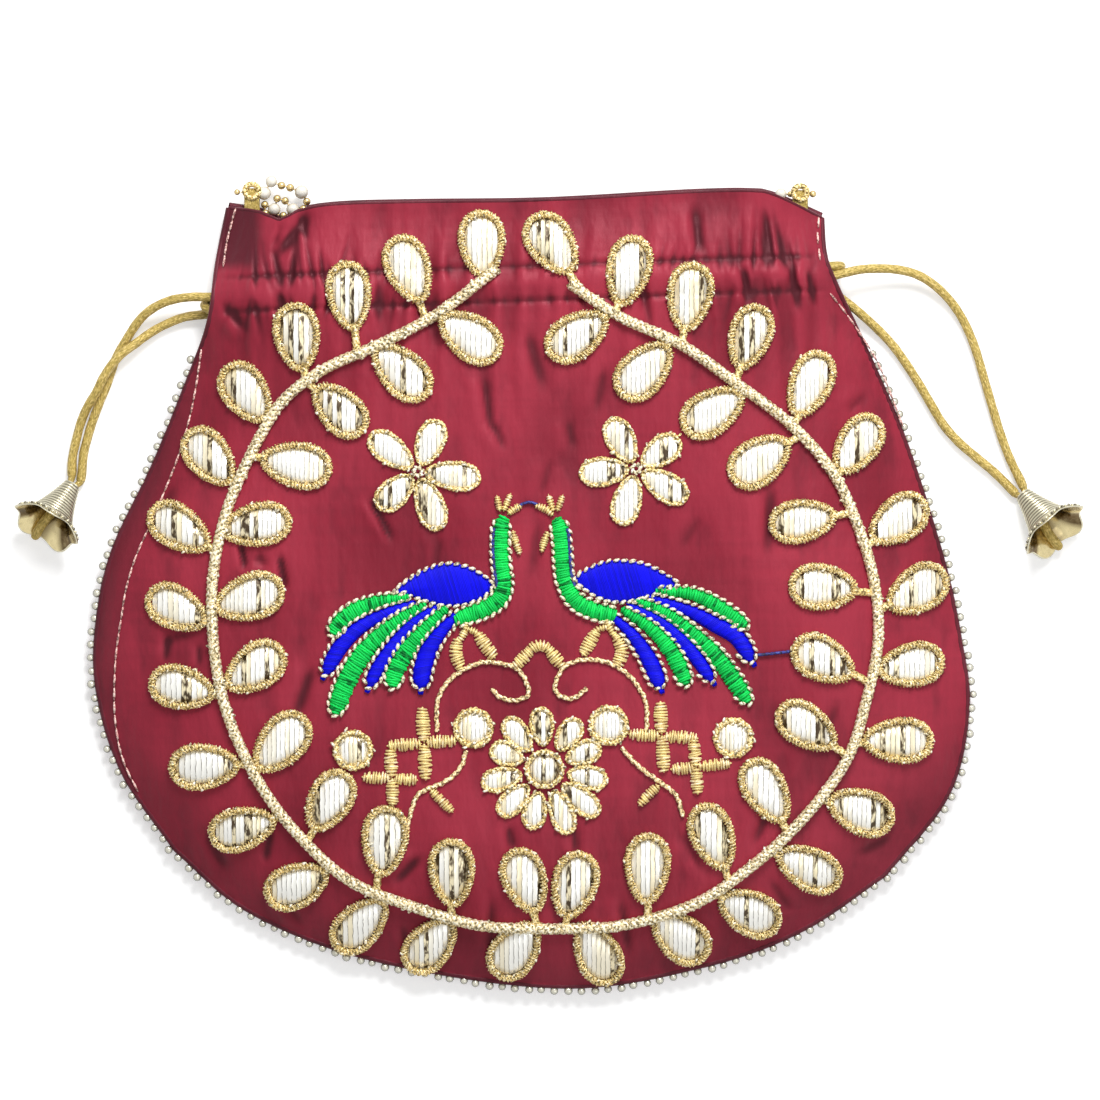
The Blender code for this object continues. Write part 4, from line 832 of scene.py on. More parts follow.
def new_group(name, inputs, outputs):
    """An empty node group with its sockets, and its two end nodes."""
    group = bpy.data.node_groups.new(name, "ShaderNodeTree")
    for label, kind, value in inputs:
        socket = group.interface.new_socket(label, in_out="INPUT", socket_type=kind)
        socket.default_value = value
    for label, kind in outputs:
        group.interface.new_socket(label, in_out="OUTPUT", socket_type=kind)
    return group, group.nodes.new("NodeGroupInput").outputs, group.nodes.new("NodeGroupOutput").inputs


def weave_group():
    """Plain weave with slubs: a height, and a mask of where the yarn is thicker."""
    name = "Woven yarn"
    if name in bpy.data.node_groups:
        return bpy.data.node_groups[name]
    group, given, out = new_group(
        name,
        [("Yarns per metre", "NodeSocketFloat", 2400.0), ("Slub size", "NodeSocketFloat", 160.0)],
        [("Height", "NodeSocketFloat"), ("Slubs", "NodeSocketFloat")],
    )
    place = node(group, "ShaderNodeTexCoord").outputs["Object"]
    parts = node(group, "ShaderNodeSeparateXYZ", {"Vector": place}).outputs
    turn = math_node(group, "MULTIPLY", given["Yarns per metre"], 2 * math.pi)
    warp = math_node(group, "SINE", math_node(group, "MULTIPLY", parts["X"], turn))
    weft = math_node(group, "SINE", math_node(group, "MULTIPLY", parts["Y"], turn))
    woven = math_node(group, "MULTIPLY", warp, weft)
    slubs = [
        noise(group, given["Slub size"], stretch, 3.0) for stretch in ((0.12, 2.2, 1), (2.6, 0.10, 1))
    ]
    both = math_node(group, "MULTIPLY", math_node(group, "ADD", slubs[0], slubs[1]), 0.5)
    height = math_node(group, "MULTIPLY_ADD", woven, 0.06, both)
    group.links.new(height, out["Height"])
    group.links.new(both, out["Slubs"])
    return group


def stitches_group():
    """Threads laid side by side: a height and a shade for each, from a count along the piece."""
    name = "Laid stitches"
    if name in bpy.data.node_groups:
        return bpy.data.node_groups[name]
    group, given, out = new_group(
        name,
        [("Count", "NodeSocketFloat", 0.0), ("Wander", "NodeSocketFloat", 0.6)],
        [("Height", "NodeSocketFloat"), ("Shade", "NodeSocketFloat"), ("Gap", "NodeSocketFloat")],
    )
    drift = math_node(group, "SUBTRACT", noise(group, 420.0, detail=1.0), 0.5)
    count = math_node(group, "MULTIPLY_ADD", drift, given["Wander"], given["Count"])
    across = math_node(group, "FRACT", count)
    middle = math_node(group, "ABSOLUTE", math_node(group, "SUBTRACT", across, 0.5))
    squared = math_node(group, "MULTIPLY", middle, middle)
    height = math_node(group, "SUBTRACT", 1.0, math_node(group, "MULTIPLY", squared, 4.0))
    number = math_node(group, "FLOOR", count)
    own = node(group, "ShaderNodeTexWhiteNoise", {"W": number}, noise_dimensions="1D")
    group.links.new(height, out["Height"])
    group.links.new(own.outputs["Value"], out["Shade"])
    group.links.new(ranged(group, height, 0.35, 0.05), out["Gap"])
    return group


def place_group(tree, group, **values):
    made = tree.nodes.new("ShaderNodeGroup")
    made.node_tree = group
    for key, value in values.items():
        link_value(tree, made.inputs[key.replace("_", " ")], value)
    return made.outputs


def silk_material(name, colour, shade, marked):
    """Plain silk: broad patches of painted highlight, slubs, painted shade of small wrinkles and a soft
    sheen.
    """
    made, tree, shader = new_material(name)
    yarn = place_group(tree, weave_group())
    # Broad noise patches mix towards a lighter colour: painted highlight patches.
    patches = noise(tree, 28.0, (1, 0.7, 1), 2.0)
    light = [min(1, c * 1.45 + 0.008) for c in colour]
    base = mixed(tree, ranged(tree, patches, 0.38, 0.72, 0.0, 0.8), colour, light)
    base = mixed(tree, ranged(tree, yarn["Slubs"], 0.44, 0.64, 0.0, 0.18), base, shade)
    crumple = noise(tree, 85.0, (1.5, 0.6, 1), 3.0)
    # The wrinkle noise that bumps the silk also darkens its colour: painted shade of wrinkles.
    base = mixed(tree, ranged(tree, crumple, 0.46, 0.30, 0.0, 0.45), base, shade)
    # Painted light from the front's marks: highlight on ridges, shade in dips and folds, shade on the seam
    # strips.
    if marked:
        base = mixed(tree, math_node(tree, "MULTIPLY", mark_value(tree, "ridge"), 0.6), base, light)
        base = mixed(tree, mark_value(tree, "swell"), base, [0.45 * c for c in colour])
        base = mixed(tree, mark_value(tree, "hollow"), base, [0.5 * c for c in shade])
        base = mixed(tree, mark_value(tree, "shade"), base, shade)
    tree.links.new(base, shader.inputs["Base Color"])
    rough = ranged(tree, yarn["Slubs"], 0.3, 0.7, 0.38, 0.50)
    tree.links.new(rough, shader.inputs["Roughness"])
    shader.inputs["Specular IOR Level"].default_value = 0.32
    shader.inputs["Specular Tint"].default_value = (1.0, 0.42, 0.48, 1.0)
    height = math_node(tree, "MULTIPLY_ADD", crumple, 2.4, math_node(tree, "MULTIPLY", yarn["Height"], 0.25))
    bumped(tree, shader, height, 0.6, 0.0009)
    return made


def ribbon_material(name, bright, dark, chance):
    """Pleated metallic ribbon: narrow strips, a few of them painted dark as dark reflections, with thin lines
    of painted shade between.
    """
    made, tree, shader = new_material(name)
    strip = place_group(tree, stitches_group(), Count=mark_value(tree, "strip"), Wander=0.34)
    # A share of the strips, mottled, is painted dark: painted dark reflections of the pleated foil.
    dark_reflection = math_node(tree, "LESS_THAN", strip["Shade"], chance)
    gold = mixed(tree, ranged(tree, strip["Shade"], 0.15, 0.45), (0.93, 0.82, 0.55), bright)
    mottle = ranged(tree, noise(tree, 900.0, (1, 0.35, 1), 2.0), 0.42, 0.58)
    darker = mixed(tree, math_node(tree, "MULTIPLY", dark_reflection, mottle), gold, dark)
    broken = ranged(tree, noise(tree, 480.0), 0.38, 0.50, 0.35, 1.0)
    # Thin dark lines in the grooves between strips: painted shade.
    lined = mixed(tree, math_node(tree, "MULTIPLY", strip["Gap"], broken), darker, dark)
    tree.links.new(lined, shader.inputs["Base Color"])
    tree.links.new(ranged(tree, mottle, 0, 1, 0.30, 0.42), shader.inputs["Roughness"])
    shader.inputs["Metallic"].default_value = 0.4
    bumped(tree, shader, strip["Height"], 0.35, 0.0004)
    return made


def thread_material(name, colour, pale, metallic, roughness, scale=1500.0):
    """Twisted metal thread, flecked darker, with pale painted glints."""
    made, tree, shader = new_material(name)
    flecks = noise(tree, scale, detail=1.0)
    low = [c * 0.22 for c in colour]
    base = mixed(tree, ranged(tree, flecks, 0.36, 0.5), low, colour)
    base = mixed(tree, ranged(tree, flecks, 0.5, 0.62), base, pale)
    tree.links.new(base, shader.inputs["Base Color"])
    shader.inputs["Metallic"].default_value = metallic
    tree.links.new(
        ranged(tree, flecks, 0.3, 0.7, roughness + 0.1, roughness - 0.08),
        shader.inputs["Roughness"],
    )
    bumped(tree, shader, flecks, 0.7, 0.0003)
    return made


def stitch_material(name, colour, line_colour, line_share, metallic=0.0):
    """Satin stitch: glossy threads side by side, painted shade in the grooves between them, and a darker line
    here and there.
    """
    made, tree, shader = new_material(name)
    laid = place_group(tree, stitches_group(), Count=mark_value(tree, "count"), Wander=0.9)
    low = [c * 0.72 for c in colour]
    high = [min(1, c * 1.2) for c in colour]
    base = mixed(tree, laid["Shade"], low, high)
    # Darker colour in the gaps between threads: painted shade.
    base = mixed(tree, math_node(tree, "MULTIPLY", laid["Gap"], 0.45), base, [c * 0.3 for c in colour])
    lines = math_node(tree, "LESS_THAN", laid["Shade"], line_share)
    broken = ranged(tree, noise(tree, 500.0), 0.45, 0.55)
    base = mixed(tree, math_node(tree, "MULTIPLY", lines, broken), base, line_colour)
    tree.links.new(base, shader.inputs["Base Color"])
    shader.inputs["Metallic"].default_value = metallic
    shader.inputs["Specular IOR Level"].default_value = 0.12
    tree.links.new(ranged(tree, laid["Shade"], 0, 1, 0.55, 0.45), shader.inputs["Roughness"])
    bumped(tree, shader, laid["Height"], 0.3, 0.00025)
    return made


def cord_material(name, colour, pale):
    """Satin cord: fine yarns that run along it in waves."""
    made, tree, shader = new_material(name)
    run, turn = mark_value(tree, "run"), mark_value(tree, "turn")
    circle = math_node(tree, "MULTIPLY", turn, 2 * math.pi)
    around = node(tree, "ShaderNodeCombineXYZ", {
        "X": math_node(tree, "COSINE", circle), "Y": math_node(tree, "SINE", circle),
        "Z": math_node(tree, "MULTIPLY", run, 330.0),
    }).outputs[0]
    yarns = noise(tree, 3.2, detail=4.0, vector=around)
    base = mixed(tree, ranged(tree, yarns, 0.34, 0.50), [c * 0.55 for c in colour], colour)
    base = mixed(tree, ranged(tree, yarns, 0.52, 0.66), base, pale)
    tree.links.new(base, shader.inputs["Base Color"])
    tree.links.new(ranged(tree, yarns, 0.3, 0.7, 0.50, 0.32), shader.inputs["Roughness"])
    shader.inputs["Metallic"].default_value = 0.25
    bumped(tree, shader, yarns, 0.8, 0.0006)
    return made


def metal_material(name, colour, dark, roughness, dip_shading=0.55):
    """Pressed metal with darker metal in its dips: painted shade."""
    made, tree, shader = new_material(name)
    dips = ranged(tree, mark_value(tree, "dip"), 0.25, 0.9)
    spots = ranged(tree, noise(tree, 700.0), 0.45, 0.7, 0.0, 0.35)
    # Darker metal where the dip mark is high: painted shade.
    base = mixed(tree, math_node(tree, "MULTIPLY", dips, dip_shading), colour, dark)
    base = mixed(tree, spots, base, [0.5 * (a + b) for a, b in zip(colour, dark)])
    tree.links.new(base, shader.inputs["Base Color"])
    shader.inputs["Metallic"].default_value = 0.9
    tree.links.new(ranged(tree, spots, 0, 0.35, roughness, roughness + 0.15), shader.inputs["Roughness"])
    return made


def bead_material(name, colour, rim, metallic, roughness, facing=0.5):
    """A glossy bead that darkens towards its rim: painted shade."""
    made, tree, shader = new_material(name)
    edge = node(tree, "ShaderNodeLayerWeight", {"Blend": facing}).outputs["Facing"]
    cloudy = ranged(tree, noise(tree, 600.0), 0.3, 0.7, 0.0, 0.3)
    base = mixed(tree, cloudy, colour, [0.8 * c for c in colour])
    # Layer Weight darkens the colour towards the rim: painted shade.
    base = mixed(tree, ranged(tree, edge, 0.24, 0.72), base, rim)
    tree.links.new(base, shader.inputs["Base Color"])
    tree.links.new(ranged(tree, cloudy, 0, 0.3, roughness, roughness + 0.08), shader.inputs["Roughness"])
    shader.inputs["Metallic"].default_value = metallic
    shader.inputs["Coat Weight"].default_value = 0.6
    shader.inputs["Coat Roughness"].default_value = 0.08
    return made


def kept(name, maker, *values):
    """A material by name, made the first time it is asked for."""
    return bpy.data.materials.get(name) or maker(name, *values)


def finishes():
    look = bpy.context.scene.potli_colours
    pale = (1.0, 0.88, 0.55)
    return {
        "silk": kept("Maroon silk", silk_material, tuple(look.silk), tuple(look.silk_shade), True),
        "plain_silk": kept(
            "Plain maroon silk", silk_material, tuple(look.silk), tuple(look.silk_shade), False,
        ),
        # Silk in painted shade, for the dark hems along the seam and the lip; the ties of the edge beads use
        # it too.
        "dark_silk": kept("Shaded silk", silk_material, tuple(look.silk_shade), (0.02, 0.005, 0.008), False),
        "lining": kept("Lining cotton", silk_material, tuple(look.lining), tuple(look.silk_shade), False),
        "ribbon": kept("Pleated ribbon", ribbon_material, tuple(look.ribbon), (0.06, 0.036, 0.014), 0.17),
        "rope": kept("Gold rope", thread_material, tuple(look.gold_thread), pale, 0.3, 0.42),
        "stem": kept("Pale gold rope", thread_material, (0.90, 0.72, 0.38), (1.0, 0.96, 0.80), 0.25, 0.4),
        "crumbs": kept("Pale crumbs", thread_material, (0.92, 0.78, 0.48), (1, 0.97, 0.88), 0.15, 0.4),
        "grains": kept("Cream grains", thread_material, (0.95, 0.82, 0.56), (1, 0.95, 0.80), 0.3, 0.45),
        "tan": kept("Tan thread", stitch_material, (0.97, 0.72, 0.34), (1.0, 0.88, 0.58), 0.3, 0.4),
        "tan_line": kept("Tan twist", thread_material, (0.95, 0.70, 0.34), (1.0, 0.88, 0.60), 0.35, 0.45),
        "blue": kept("Blue satin stitch", stitch_material, tuple(look.blue), (0.004, 0.004, 0.5), 0.06),
        "green": kept("Green satin stitch", stitch_material, tuple(look.green), (0.004, 0.16, 0.03), 0.12),
        "jump": kept("Dark blue thread", thread_material, (0.012, 0.016, 0.16), (0.03, 0.05, 0.34), 0.0, 0.5),
        "stitch": kept("Pink thread", thread_material, (0.82, 0.42, 0.38), (0.95, 0.74, 0.66), 0.0, 0.6),
        "cord": kept("Gold satin cord", cord_material, tuple(look.cord), (0.80, 0.62, 0.24)),
        "bell": kept("Bell metal", metal_material, tuple(look.bell), (0.05, 0.04, 0.022), 0.30, 0.8),
        "bell_inside": kept(
            "Bell lining metal", metal_material, (0.78, 0.66, 0.36), (0.075, 0.04, 0.012), 0.16, 0.95,
        ),
        "glass": kept("Glass bead", bead_material, tuple(look.glass), (0.03, 0.028, 0.02), 0.35, 0.12),
        "pearl": kept("Pearl", bead_material, tuple(look.pearl), (0.52, 0.44, 0.32), 0.0, 0.2),
        "gold_bead": kept("Gold bead", bead_material, (0.74, 0.56, 0.24), (0.16, 0.10, 0.03), 0.7, 0.2),
    }


# Cords
def cord_height(x, y, height):
    spot = (np.array([x]), np.array([y]))
    if height == FRONT:
        return front_layer(*spot)[0]
    if height == BACK:
        return back_layer(*spot)[0]
    if height == OVER:
        return back_layer(*spot)[0] + CORD_DIAMETER + CLEARANCE
    return height * MM


def cord_route(side):
    points = [(x * MM, y * MM, cord_height(x * MM, y * MM, z)) for x, y, z in CORD_ROUTES[side]]
    return smooth_curve(points, 0.0011)


def carried_frames(line):
    """Two vectors square to the line at each point, carried along it without a twist."""
    ahead = np.gradient(line, axis=0)
    ahead /= np.linalg.norm(ahead, axis=1)[:, None]
    first = np.cross(ahead[0], (0, 0, 1))
    frames = [first / np.linalg.norm(first)]
    for now in ahead[1:]:
        moved = frames[-1] - now * (frames[-1] @ now)
        frames.append(moved / np.linalg.norm(moved))
    aside = np.array(frames)
    return aside, np.cross(ahead, aside)


def make_drawcord(side, finish):
    line = cord_route(side)
    aside, up = carried_frames(line)
    turn = np.linspace(0, 2 * math.pi, 13)
    run = lengths_along(line)
    plump = 1 + 0.035 * np.sin(run * 1400) * np.sin(run * 430 + 1)
    radius = (CORD_DIAMETER / 2 * plump)[:, None, None]
    ring = aside[:, None] * np.cos(turn)[:, None] + up[:, None] * np.sin(turn)[:, None]
    cord = Work("run", "turn")
    cord.grid(line[:, None] + radius * ring, run=run[:, None], turn=turn / (2 * math.pi))
    obj = cord.finish("satin_drawcord_" + side, finish, weld=False)
    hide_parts("drawcord_" + side)
    return obj, line


# Cloth
def grid_of(columns, rows):
    """u and v at even steps, closer together towards the seams."""
    t, r = np.meshgrid(np.linspace(0, 1, columns), np.linspace(0, 1, rows))
    t, r = t.ravel(), r.ravel()
    return (
        t - 0.35 * np.sin(2 * math.pi * t) / (2 * math.pi),
        r - 0.25 * np.sin(2 * math.pi * r) / (2 * math.pi),
    )


def stitched_strip(x, y):
    """Mask of painted shade: 1 outside the left row of top stitching and in the left corner of the header,
    and partly near the seam low down.
    """
    line = smooth_curve(millimetres(TOP_STITCH[0]), 0.004)
    order = np.argsort(line[:, 1])
    edge = np.interp(y, line[order, 1], line[order, 0], left=-0.2, right=-0.2)
    strip = smoothstep(0.0008, -0.0006, x - edge) * (0.5 + 0.5 * smoothstep(0.001, 0.009, edge - x))
    corner = smoothstep(-0.0725, -0.0775, x) * smoothstep(0.0865, 0.0905, y)
    low = smoothstep(-0.030, -0.060, y) * smoothstep(0.020, 0.004, seam_distance(x, y))
    return np.clip(0.9 * strip + 0.95 * corner + 0.35 * low, 0, 1)


def front_marks(x, y):
    """Masks of painted light on the silk: painted shade on the seam strips, in dips and in folds, and painted
    highlight on ridges.
    """
    relief = front_surface(x, y) - front_height(x, y)
    return {
        "shade": stitched_strip(x, y),
        "swell": 0.55 * np.clip(-relief / 0.0008, 0, 1),
        "hollow": 0.92 * smoothstep(0.00012, 0.00100, -folds(x, y)),
        "ridge": np.clip(relief / 0.0007, 0, 1),
    }


def cut_size(points):
    """Widest row, longest column and area of a grid of points, measured over its folds."""
    across = np.linalg.norm(np.diff(points, axis=1), axis=2).sum(1).max()
    up = np.linalg.norm(np.diff(points, axis=0), axis=2).sum(0).max()
    one, two = points[1:, 1:] - points[:-1, :-1], points[1:, :-1] - points[:-1, 1:]
    return np.array((across, up, np.linalg.norm(np.cross(one, two), axis=2).sum() / 2))


def make_panel(name, height, finish, columns, rows, faces_up, thickness, inset=0.0, marks=None):
    u, v = grid_of(columns, rows)
    u = inset / 0.240 + u * (1 - 2 * inset / 0.240)
    v = inset / 0.219 + v * (1 - 1.1 * inset / 0.219)
    x, y = panel_point(u, v).T
    found = marks(x, y) if marks else {}
    panel = Work(*found)
    points = np.column_stack([x, y, height(x, y)]).reshape(rows, columns, 3)
    panel.grid(points, **{mark: value.reshape(rows, columns) for mark, value in found.items()})
    obj = panel.finish(name, finish, weld=False)
    if not faces_up:
        obj.data.flip_normals()
    if thickness:
        thick = obj.modifiers.new("Cloth", "SOLIDIFY")
        thick.thickness = thickness
        thick.offset = -1
    return obj, cut_size(points)


def make_facing(finish):
    """The turned-in strip under the front's lip."""
    u, v = np.meshgrid(np.linspace(0, 1, 160), np.linspace(0.93, 1, 12))
    x, y = panel_point(u.ravel(), v.ravel()).T
    z = front_surface(x, y) - PANEL_CLOTH
    facing = Work()
    points = np.column_stack([x, y, z]).reshape(*u.shape, 3)
    facing.grid(points)
    obj = facing.finish("lip_facing", finish, weld=False)
    obj.data.flip_normals()
    return obj, cut_size(points)


def make_hem(name, line, height, radius, finish):
    """A narrow rolled edge along a line."""
    x, y = line.T
    hem = Work("run", "turn")
    hem.tube(np.column_stack([x, y, height]), radius, 8)
    return hem.finish(name, finish)


def make_cloth():
    look = finishes()
    front, front_cut = make_panel(
        "silk_front", front_surface, look["silk"], 320, 290, True, 0, marks=front_marks,
    )
    facing, turned_in = make_facing(look["plain_silk"])
    back, back_cut = make_panel("silk_back", back_height, look["plain_silk"], 90, 90, False, PANEL_CLOTH)
    inner, inner_cut = make_panel(
        "cotton_front", lining_front_height, look["lining"], 60, 60, True, LINING_CLOTH, LINING_INSET,
    )
    outer, outer_cut = make_panel(
        "cotton_back", lining_back_height, look["lining"], 60, 60, False, LINING_CLOTH, LINING_INSET,
    )
    seam = even_steps(SEAM, 0.0012)
    x, y = seam.T
    edge = SEAM_HEIGHT + SEAM_SPREAD + SIDE_SLIT_LIFT * slit_opening(x, y)
    under = (SEAM_HEIGHT - SEAM_SPREAD) * (1 - slit_opening(x, y))
    # The hems take the shaded silk: painted shade along the seam and the lip.
    hems = [
        make_hem("front_seam_edge", seam, edge - 0.0004, 0.0008, look["dark_silk"]),
        make_hem("back_seam_edge", seam, under + 0.0009, 0.0009, look["dark_silk"]),
    ]
    lip = even_steps(SIDES["lip"], 0.0008)
    hems.append(make_hem("front_lip_edge", lip, front_surface(*lip.T) - 0.0004, 0.0005, look["dark_silk"]))
    hems.append(make_hem(
        "back_lip_edge", lip + (0, 0.0006), back_height(*lip.T) + 0.0010, 0.0010, look["dark_silk"],
    ))
    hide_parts("front_panel")
    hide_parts("back_panel")
    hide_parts("lining_front")
    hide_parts("lining_back")
    front_cut[1:] += turned_in[1:]
    stitches = Work()
    for row in TOP_STITCH:
        line = even_steps(smooth_curve(millimetres(row), 0.001), 0.0037)
        spots = on_cloth(line, 0.0002)
        for spot, ahead in zip(spots, np.gradient(spots, axis=0)):
            stitches.grain(spot, ahead, 0.0045, 0.0007)
    top = stitches.finish("top_stitching", look["stitch"])


# Applique
def leaf_outline(middle, ahead, length, width, count, growth=1.0):
    """Egg-shaped outline, narrow behind, starting at its narrow end."""
    turn = np.linspace(0, 2 * math.pi, count + 1)
    along = -np.cos(turn) * length / 2 * growth
    aside = np.sin(turn) * width / 2 * (0.88 - 0.20 * np.cos(turn)) * growth
    left = np.array((-ahead[1], ahead[0]))
    return middle + along[:, None] * ahead + aside[:, None] * left


def add_field(fields, outline, middle, puff, pitch, seed, start=0.0):
    """A puffed patch inside an outline, with upright strips counted across it."""
    shares = np.array((1.0, 0.93, 0.80, 0.6, 0.35, 0.0))[:, None, None]
    flat = middle + (outline - middle) * shares
    lift = puff * (1 - shares[..., 0] ** 2.6) * np.ones(len(outline))
    x, y = flat[..., 0].ravel(), flat[..., 1].ravel()
    z = front_surface(x, y).reshape(lift.shape) + start + lift
    strip = flat[..., 0] / pitch + 37.0 * seed
    fields.grid(np.dstack([flat, z]), strip=strip)


def add_edge_rope(ropes, crumbs, outline, radius, thickness, chance, crumb_gap=0.0035, lift=0.0006):
    """A loose twisted rope round an outline, with pale crumbs of thread on it."""
    line = even_steps(outline, 0.00055)
    run = lengths_along(line)
    ahead = np.gradient(line, axis=0)
    ahead /= np.linalg.norm(ahead, axis=1)[:, None]
    waver = 0.16 * radius * np.sin(2 * math.pi * run / chance.uniform(0.0030, 0.0042) + chance.uniform(0, 6))
    waver[:3] = waver[-3:] = 0
    line = line + np.column_stack([-ahead[:, 1], ahead[:, 0]]) * waver[:, None]
    share = np.linspace(0, 2 * math.pi, len(line))
    grown = radius * (1 + thickness * np.sin(share / 2) ** 2)
    ropes.rope(on_cloth(line, lift), grown, 0.0021)
    for at in np.arange(chance.uniform(0, crumb_gap), run[-1], crumb_gap):
        k = min(int(at / run[-1] * len(line)), len(line) - 2)
        way = line[k + 1] - line[k]
        off = np.array((-way[1], way[0])) / np.linalg.norm(way) * radius * chance.uniform(-1.0, 1.0)
        spot = on_cloth([line[k] + off], lift + 0.8 * radius)[0]
        turn = math.atan2(way[1], way[0]) + chance.uniform(0.3, 1.1)
        size = chance.uniform(0.8, 1.25)
        crumbs.grain(spot, (math.cos(turn), math.sin(turn), 0.15), 0.0016 * size, 0.0008 * size)


def make_wreath(side, look):
    size = bpy.context.scene.potli_sizes
    chance = np.random.default_rng(3 if side == "left" else 4)
    fields, ropes, crumbs = Work("strip"), Work("run", "turn", "strand"), Work()
    stem = smooth_curve(millimetres(STEMS[side]), 0.001)
    for k, middle in enumerate(millimetres(LEAVES[side])):
        nearest = int(np.argmin(np.linalg.norm(stem - middle, axis=1)))
        root = stem[min(nearest + round(LEAF_SWEEP / 0.001), len(stem) - 4)]
        ahead = middle - root
        reach = np.linalg.norm(ahead)
        ahead = ahead / reach
        ahead = ahead + chance.uniform(-0.06, 0.06) * np.array((-ahead[1], ahead[0]))
        ahead /= np.linalg.norm(ahead)
        length = size.leaf_length * chance.uniform(0.95, 1.04)
        width = size.leaf_width * chance.uniform(0.94, 1.05)
        outline = leaf_outline(middle, ahead, length, width, 40)
        inner = leaf_outline(middle, ahead, length - 0.0022, width - 0.0022, 24)
        pitch = 0.00135 * chance.uniform(0.85, 1.15)
        add_field(fields, inner, middle, 0.0016, pitch, k + 1, 0.0003)
        add_edge_rope(ropes, crumbs, outline, size.rope_radius, 0.3, chance, 0.0025)
        loose = even_steps(outline, 0.0004)
        ropes.rope(on_cloth(loose, 0.0009), 0.00128, 0.0019, 2, 0.15, 4)
        gap = reach - length / 2
        if gap > 0.0008:
            line = even_steps(np.array((root, root + ahead * (gap + 0.0006))), 0.0005)
            ropes.rope(on_cloth(line, 0.0006), 0.0013, 0.0021, 3)
    line = even_steps(stem, 0.0006)
    twist = Work("run", "turn", "strand")
    twist.rope(on_cloth(line, 0.0011), 0.00165, 0.0052, strands=3, thickness=0.52, sides=6)
    for at in range(4, len(line) - 4, 3):
        off = chance.uniform(-1.4, 1.4) * MM
        way = line[at + 1] - line[at]
        aside = np.array((-way[1], way[0])) / np.linalg.norm(way)
        spot = on_cloth([line[at] + aside * off], 0.0021 - 0.35 * abs(off))[0]
        turn = math.atan2(way[1], way[0]) + chance.uniform(0.4, 1.2)
        size_of = chance.uniform(0.8, 1.3)
        crumbs.grain(spot, (math.cos(turn), math.sin(turn), 0.1), 0.0019 * size_of, 0.00085 * size_of)
    pad = fields.finish("ribbon_leaves_" + side, look["ribbon"])
    pieces = [
        ropes.finish("leaf_ropes_" + side, look["rope"]), twist.finish("stem_rope_" + side, look["stem"]),
        crumbs.finish("wreath_crumbs_" + side, look["crumbs"], weld=False),
    ]
    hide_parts("wreath_" + side)


def add_petal(fields, ropes, crumbs, centre, middle, width, chance, seed, inner_gap, radius):
    ahead = middle - centre
    reach = np.linalg.norm(ahead)
    ahead = ahead / reach
    length = 2 * (reach - inner_gap)
    outline = leaf_outline(middle, ahead, length, width, 26)
    inner = leaf_outline(middle, ahead, length - 1.3 * radius, width - 1.3 * radius, 20)
    add_field(fields, inner, middle, 0.0013, 0.0012, seed, 0.0003)
    add_edge_rope(ropes, crumbs, outline, radius, 0.2, chance, 0.0034, 0.0005)


def round_outline(centre, radius, count):
    turn = np.linspace(0, 2 * math.pi, count + 1)
    return np.array(centre) + radius * np.column_stack([np.cos(turn), np.sin(turn)])


def make_flower(name, centre, petals, width, inner_gap, core, look, chance, stalk=None):
    fields, ropes, crumbs = Work("strip"), Work("run", "turn", "strand"), Work()
    centre = millimetres(centre)
    for k, middle in enumerate(millimetres(petals)):
        add_petal(fields, ropes, crumbs, centre, middle, width, chance, k + 3, inner_gap, 0.00062)
    if core:
        add_field(fields, round_outline(centre, core, 24), centre, 0.0020, 0.0012, 9, 0.0004)
        ring = round_outline(centre, core + 0.0006, 30)
        add_edge_rope(ropes, crumbs, ring, 0.0009, 0.0, chance, 0.002, 0.0012)
    else:
        for turn in np.linspace(0, 2 * math.pi, 8)[:-1]:
            spot = centre + 0.0011 * np.array((math.cos(turn), math.sin(turn)))
            way = (math.cos(turn + 0.9), math.sin(turn + 0.9), 0.2)
            crumbs.grain(on_cloth([spot], 0.0016)[0], way, 0.0022, 0.0010)
    if stalk is not None:
        line = even_steps(smooth_curve(millimetres(stalk), 0.0005), 0.0005)
        ropes.rope(on_cloth(line, 0.0004), 0.0004, 0.0018)
    pad = fields.finish(name + "_ribbon", look["ribbon"])
    rope = ropes.finish(name + "_rope", look["rope"])
    crumb = crumbs.finish(name + "_crumbs", look["crumbs"], weld=False)
    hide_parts(name)


def make_disc(name, centre, look, chance):
    fields, ropes, crumbs = Work("strip"), Work("run", "turn", "strand"), Work()
    centre = millimetres(centre)
    add_field(fields, round_outline(centre, 0.0042, 24), centre, 0.0015, 0.0012, 5, 0.0003)
    add_edge_rope(ropes, crumbs, round_outline(centre, 0.0049, 40), 0.0010, 0.0, chance, 0.0022)
    pad = fields.finish(name + "_ribbon", look["ribbon"])
    rope = ropes.finish(name + "_rope", look["rope"])
    crumb = crumbs.finish(name + "_crumbs", look["crumbs"], weld=False)
    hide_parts(name)


# Thread work
def stroke(route, width, square, club, step):
    """A route's points, its directions, and its half widths: a higher power is squarer."""
    line = even_steps(smooth_curve(millimetres(route), 0.0004), step)
    t = np.linspace(-1, 1, len(line))
    half = width * MM / 2 * np.sqrt(np.clip(1 - np.abs(t) ** square, 0.015, 1))
    ahead = np.gradient(line, axis=0)
    ahead /= np.linalg.norm(ahead, axis=1)[:, None]
    return line, ahead, half * (1 - club * smoothstep(0.45, -1.0, t))


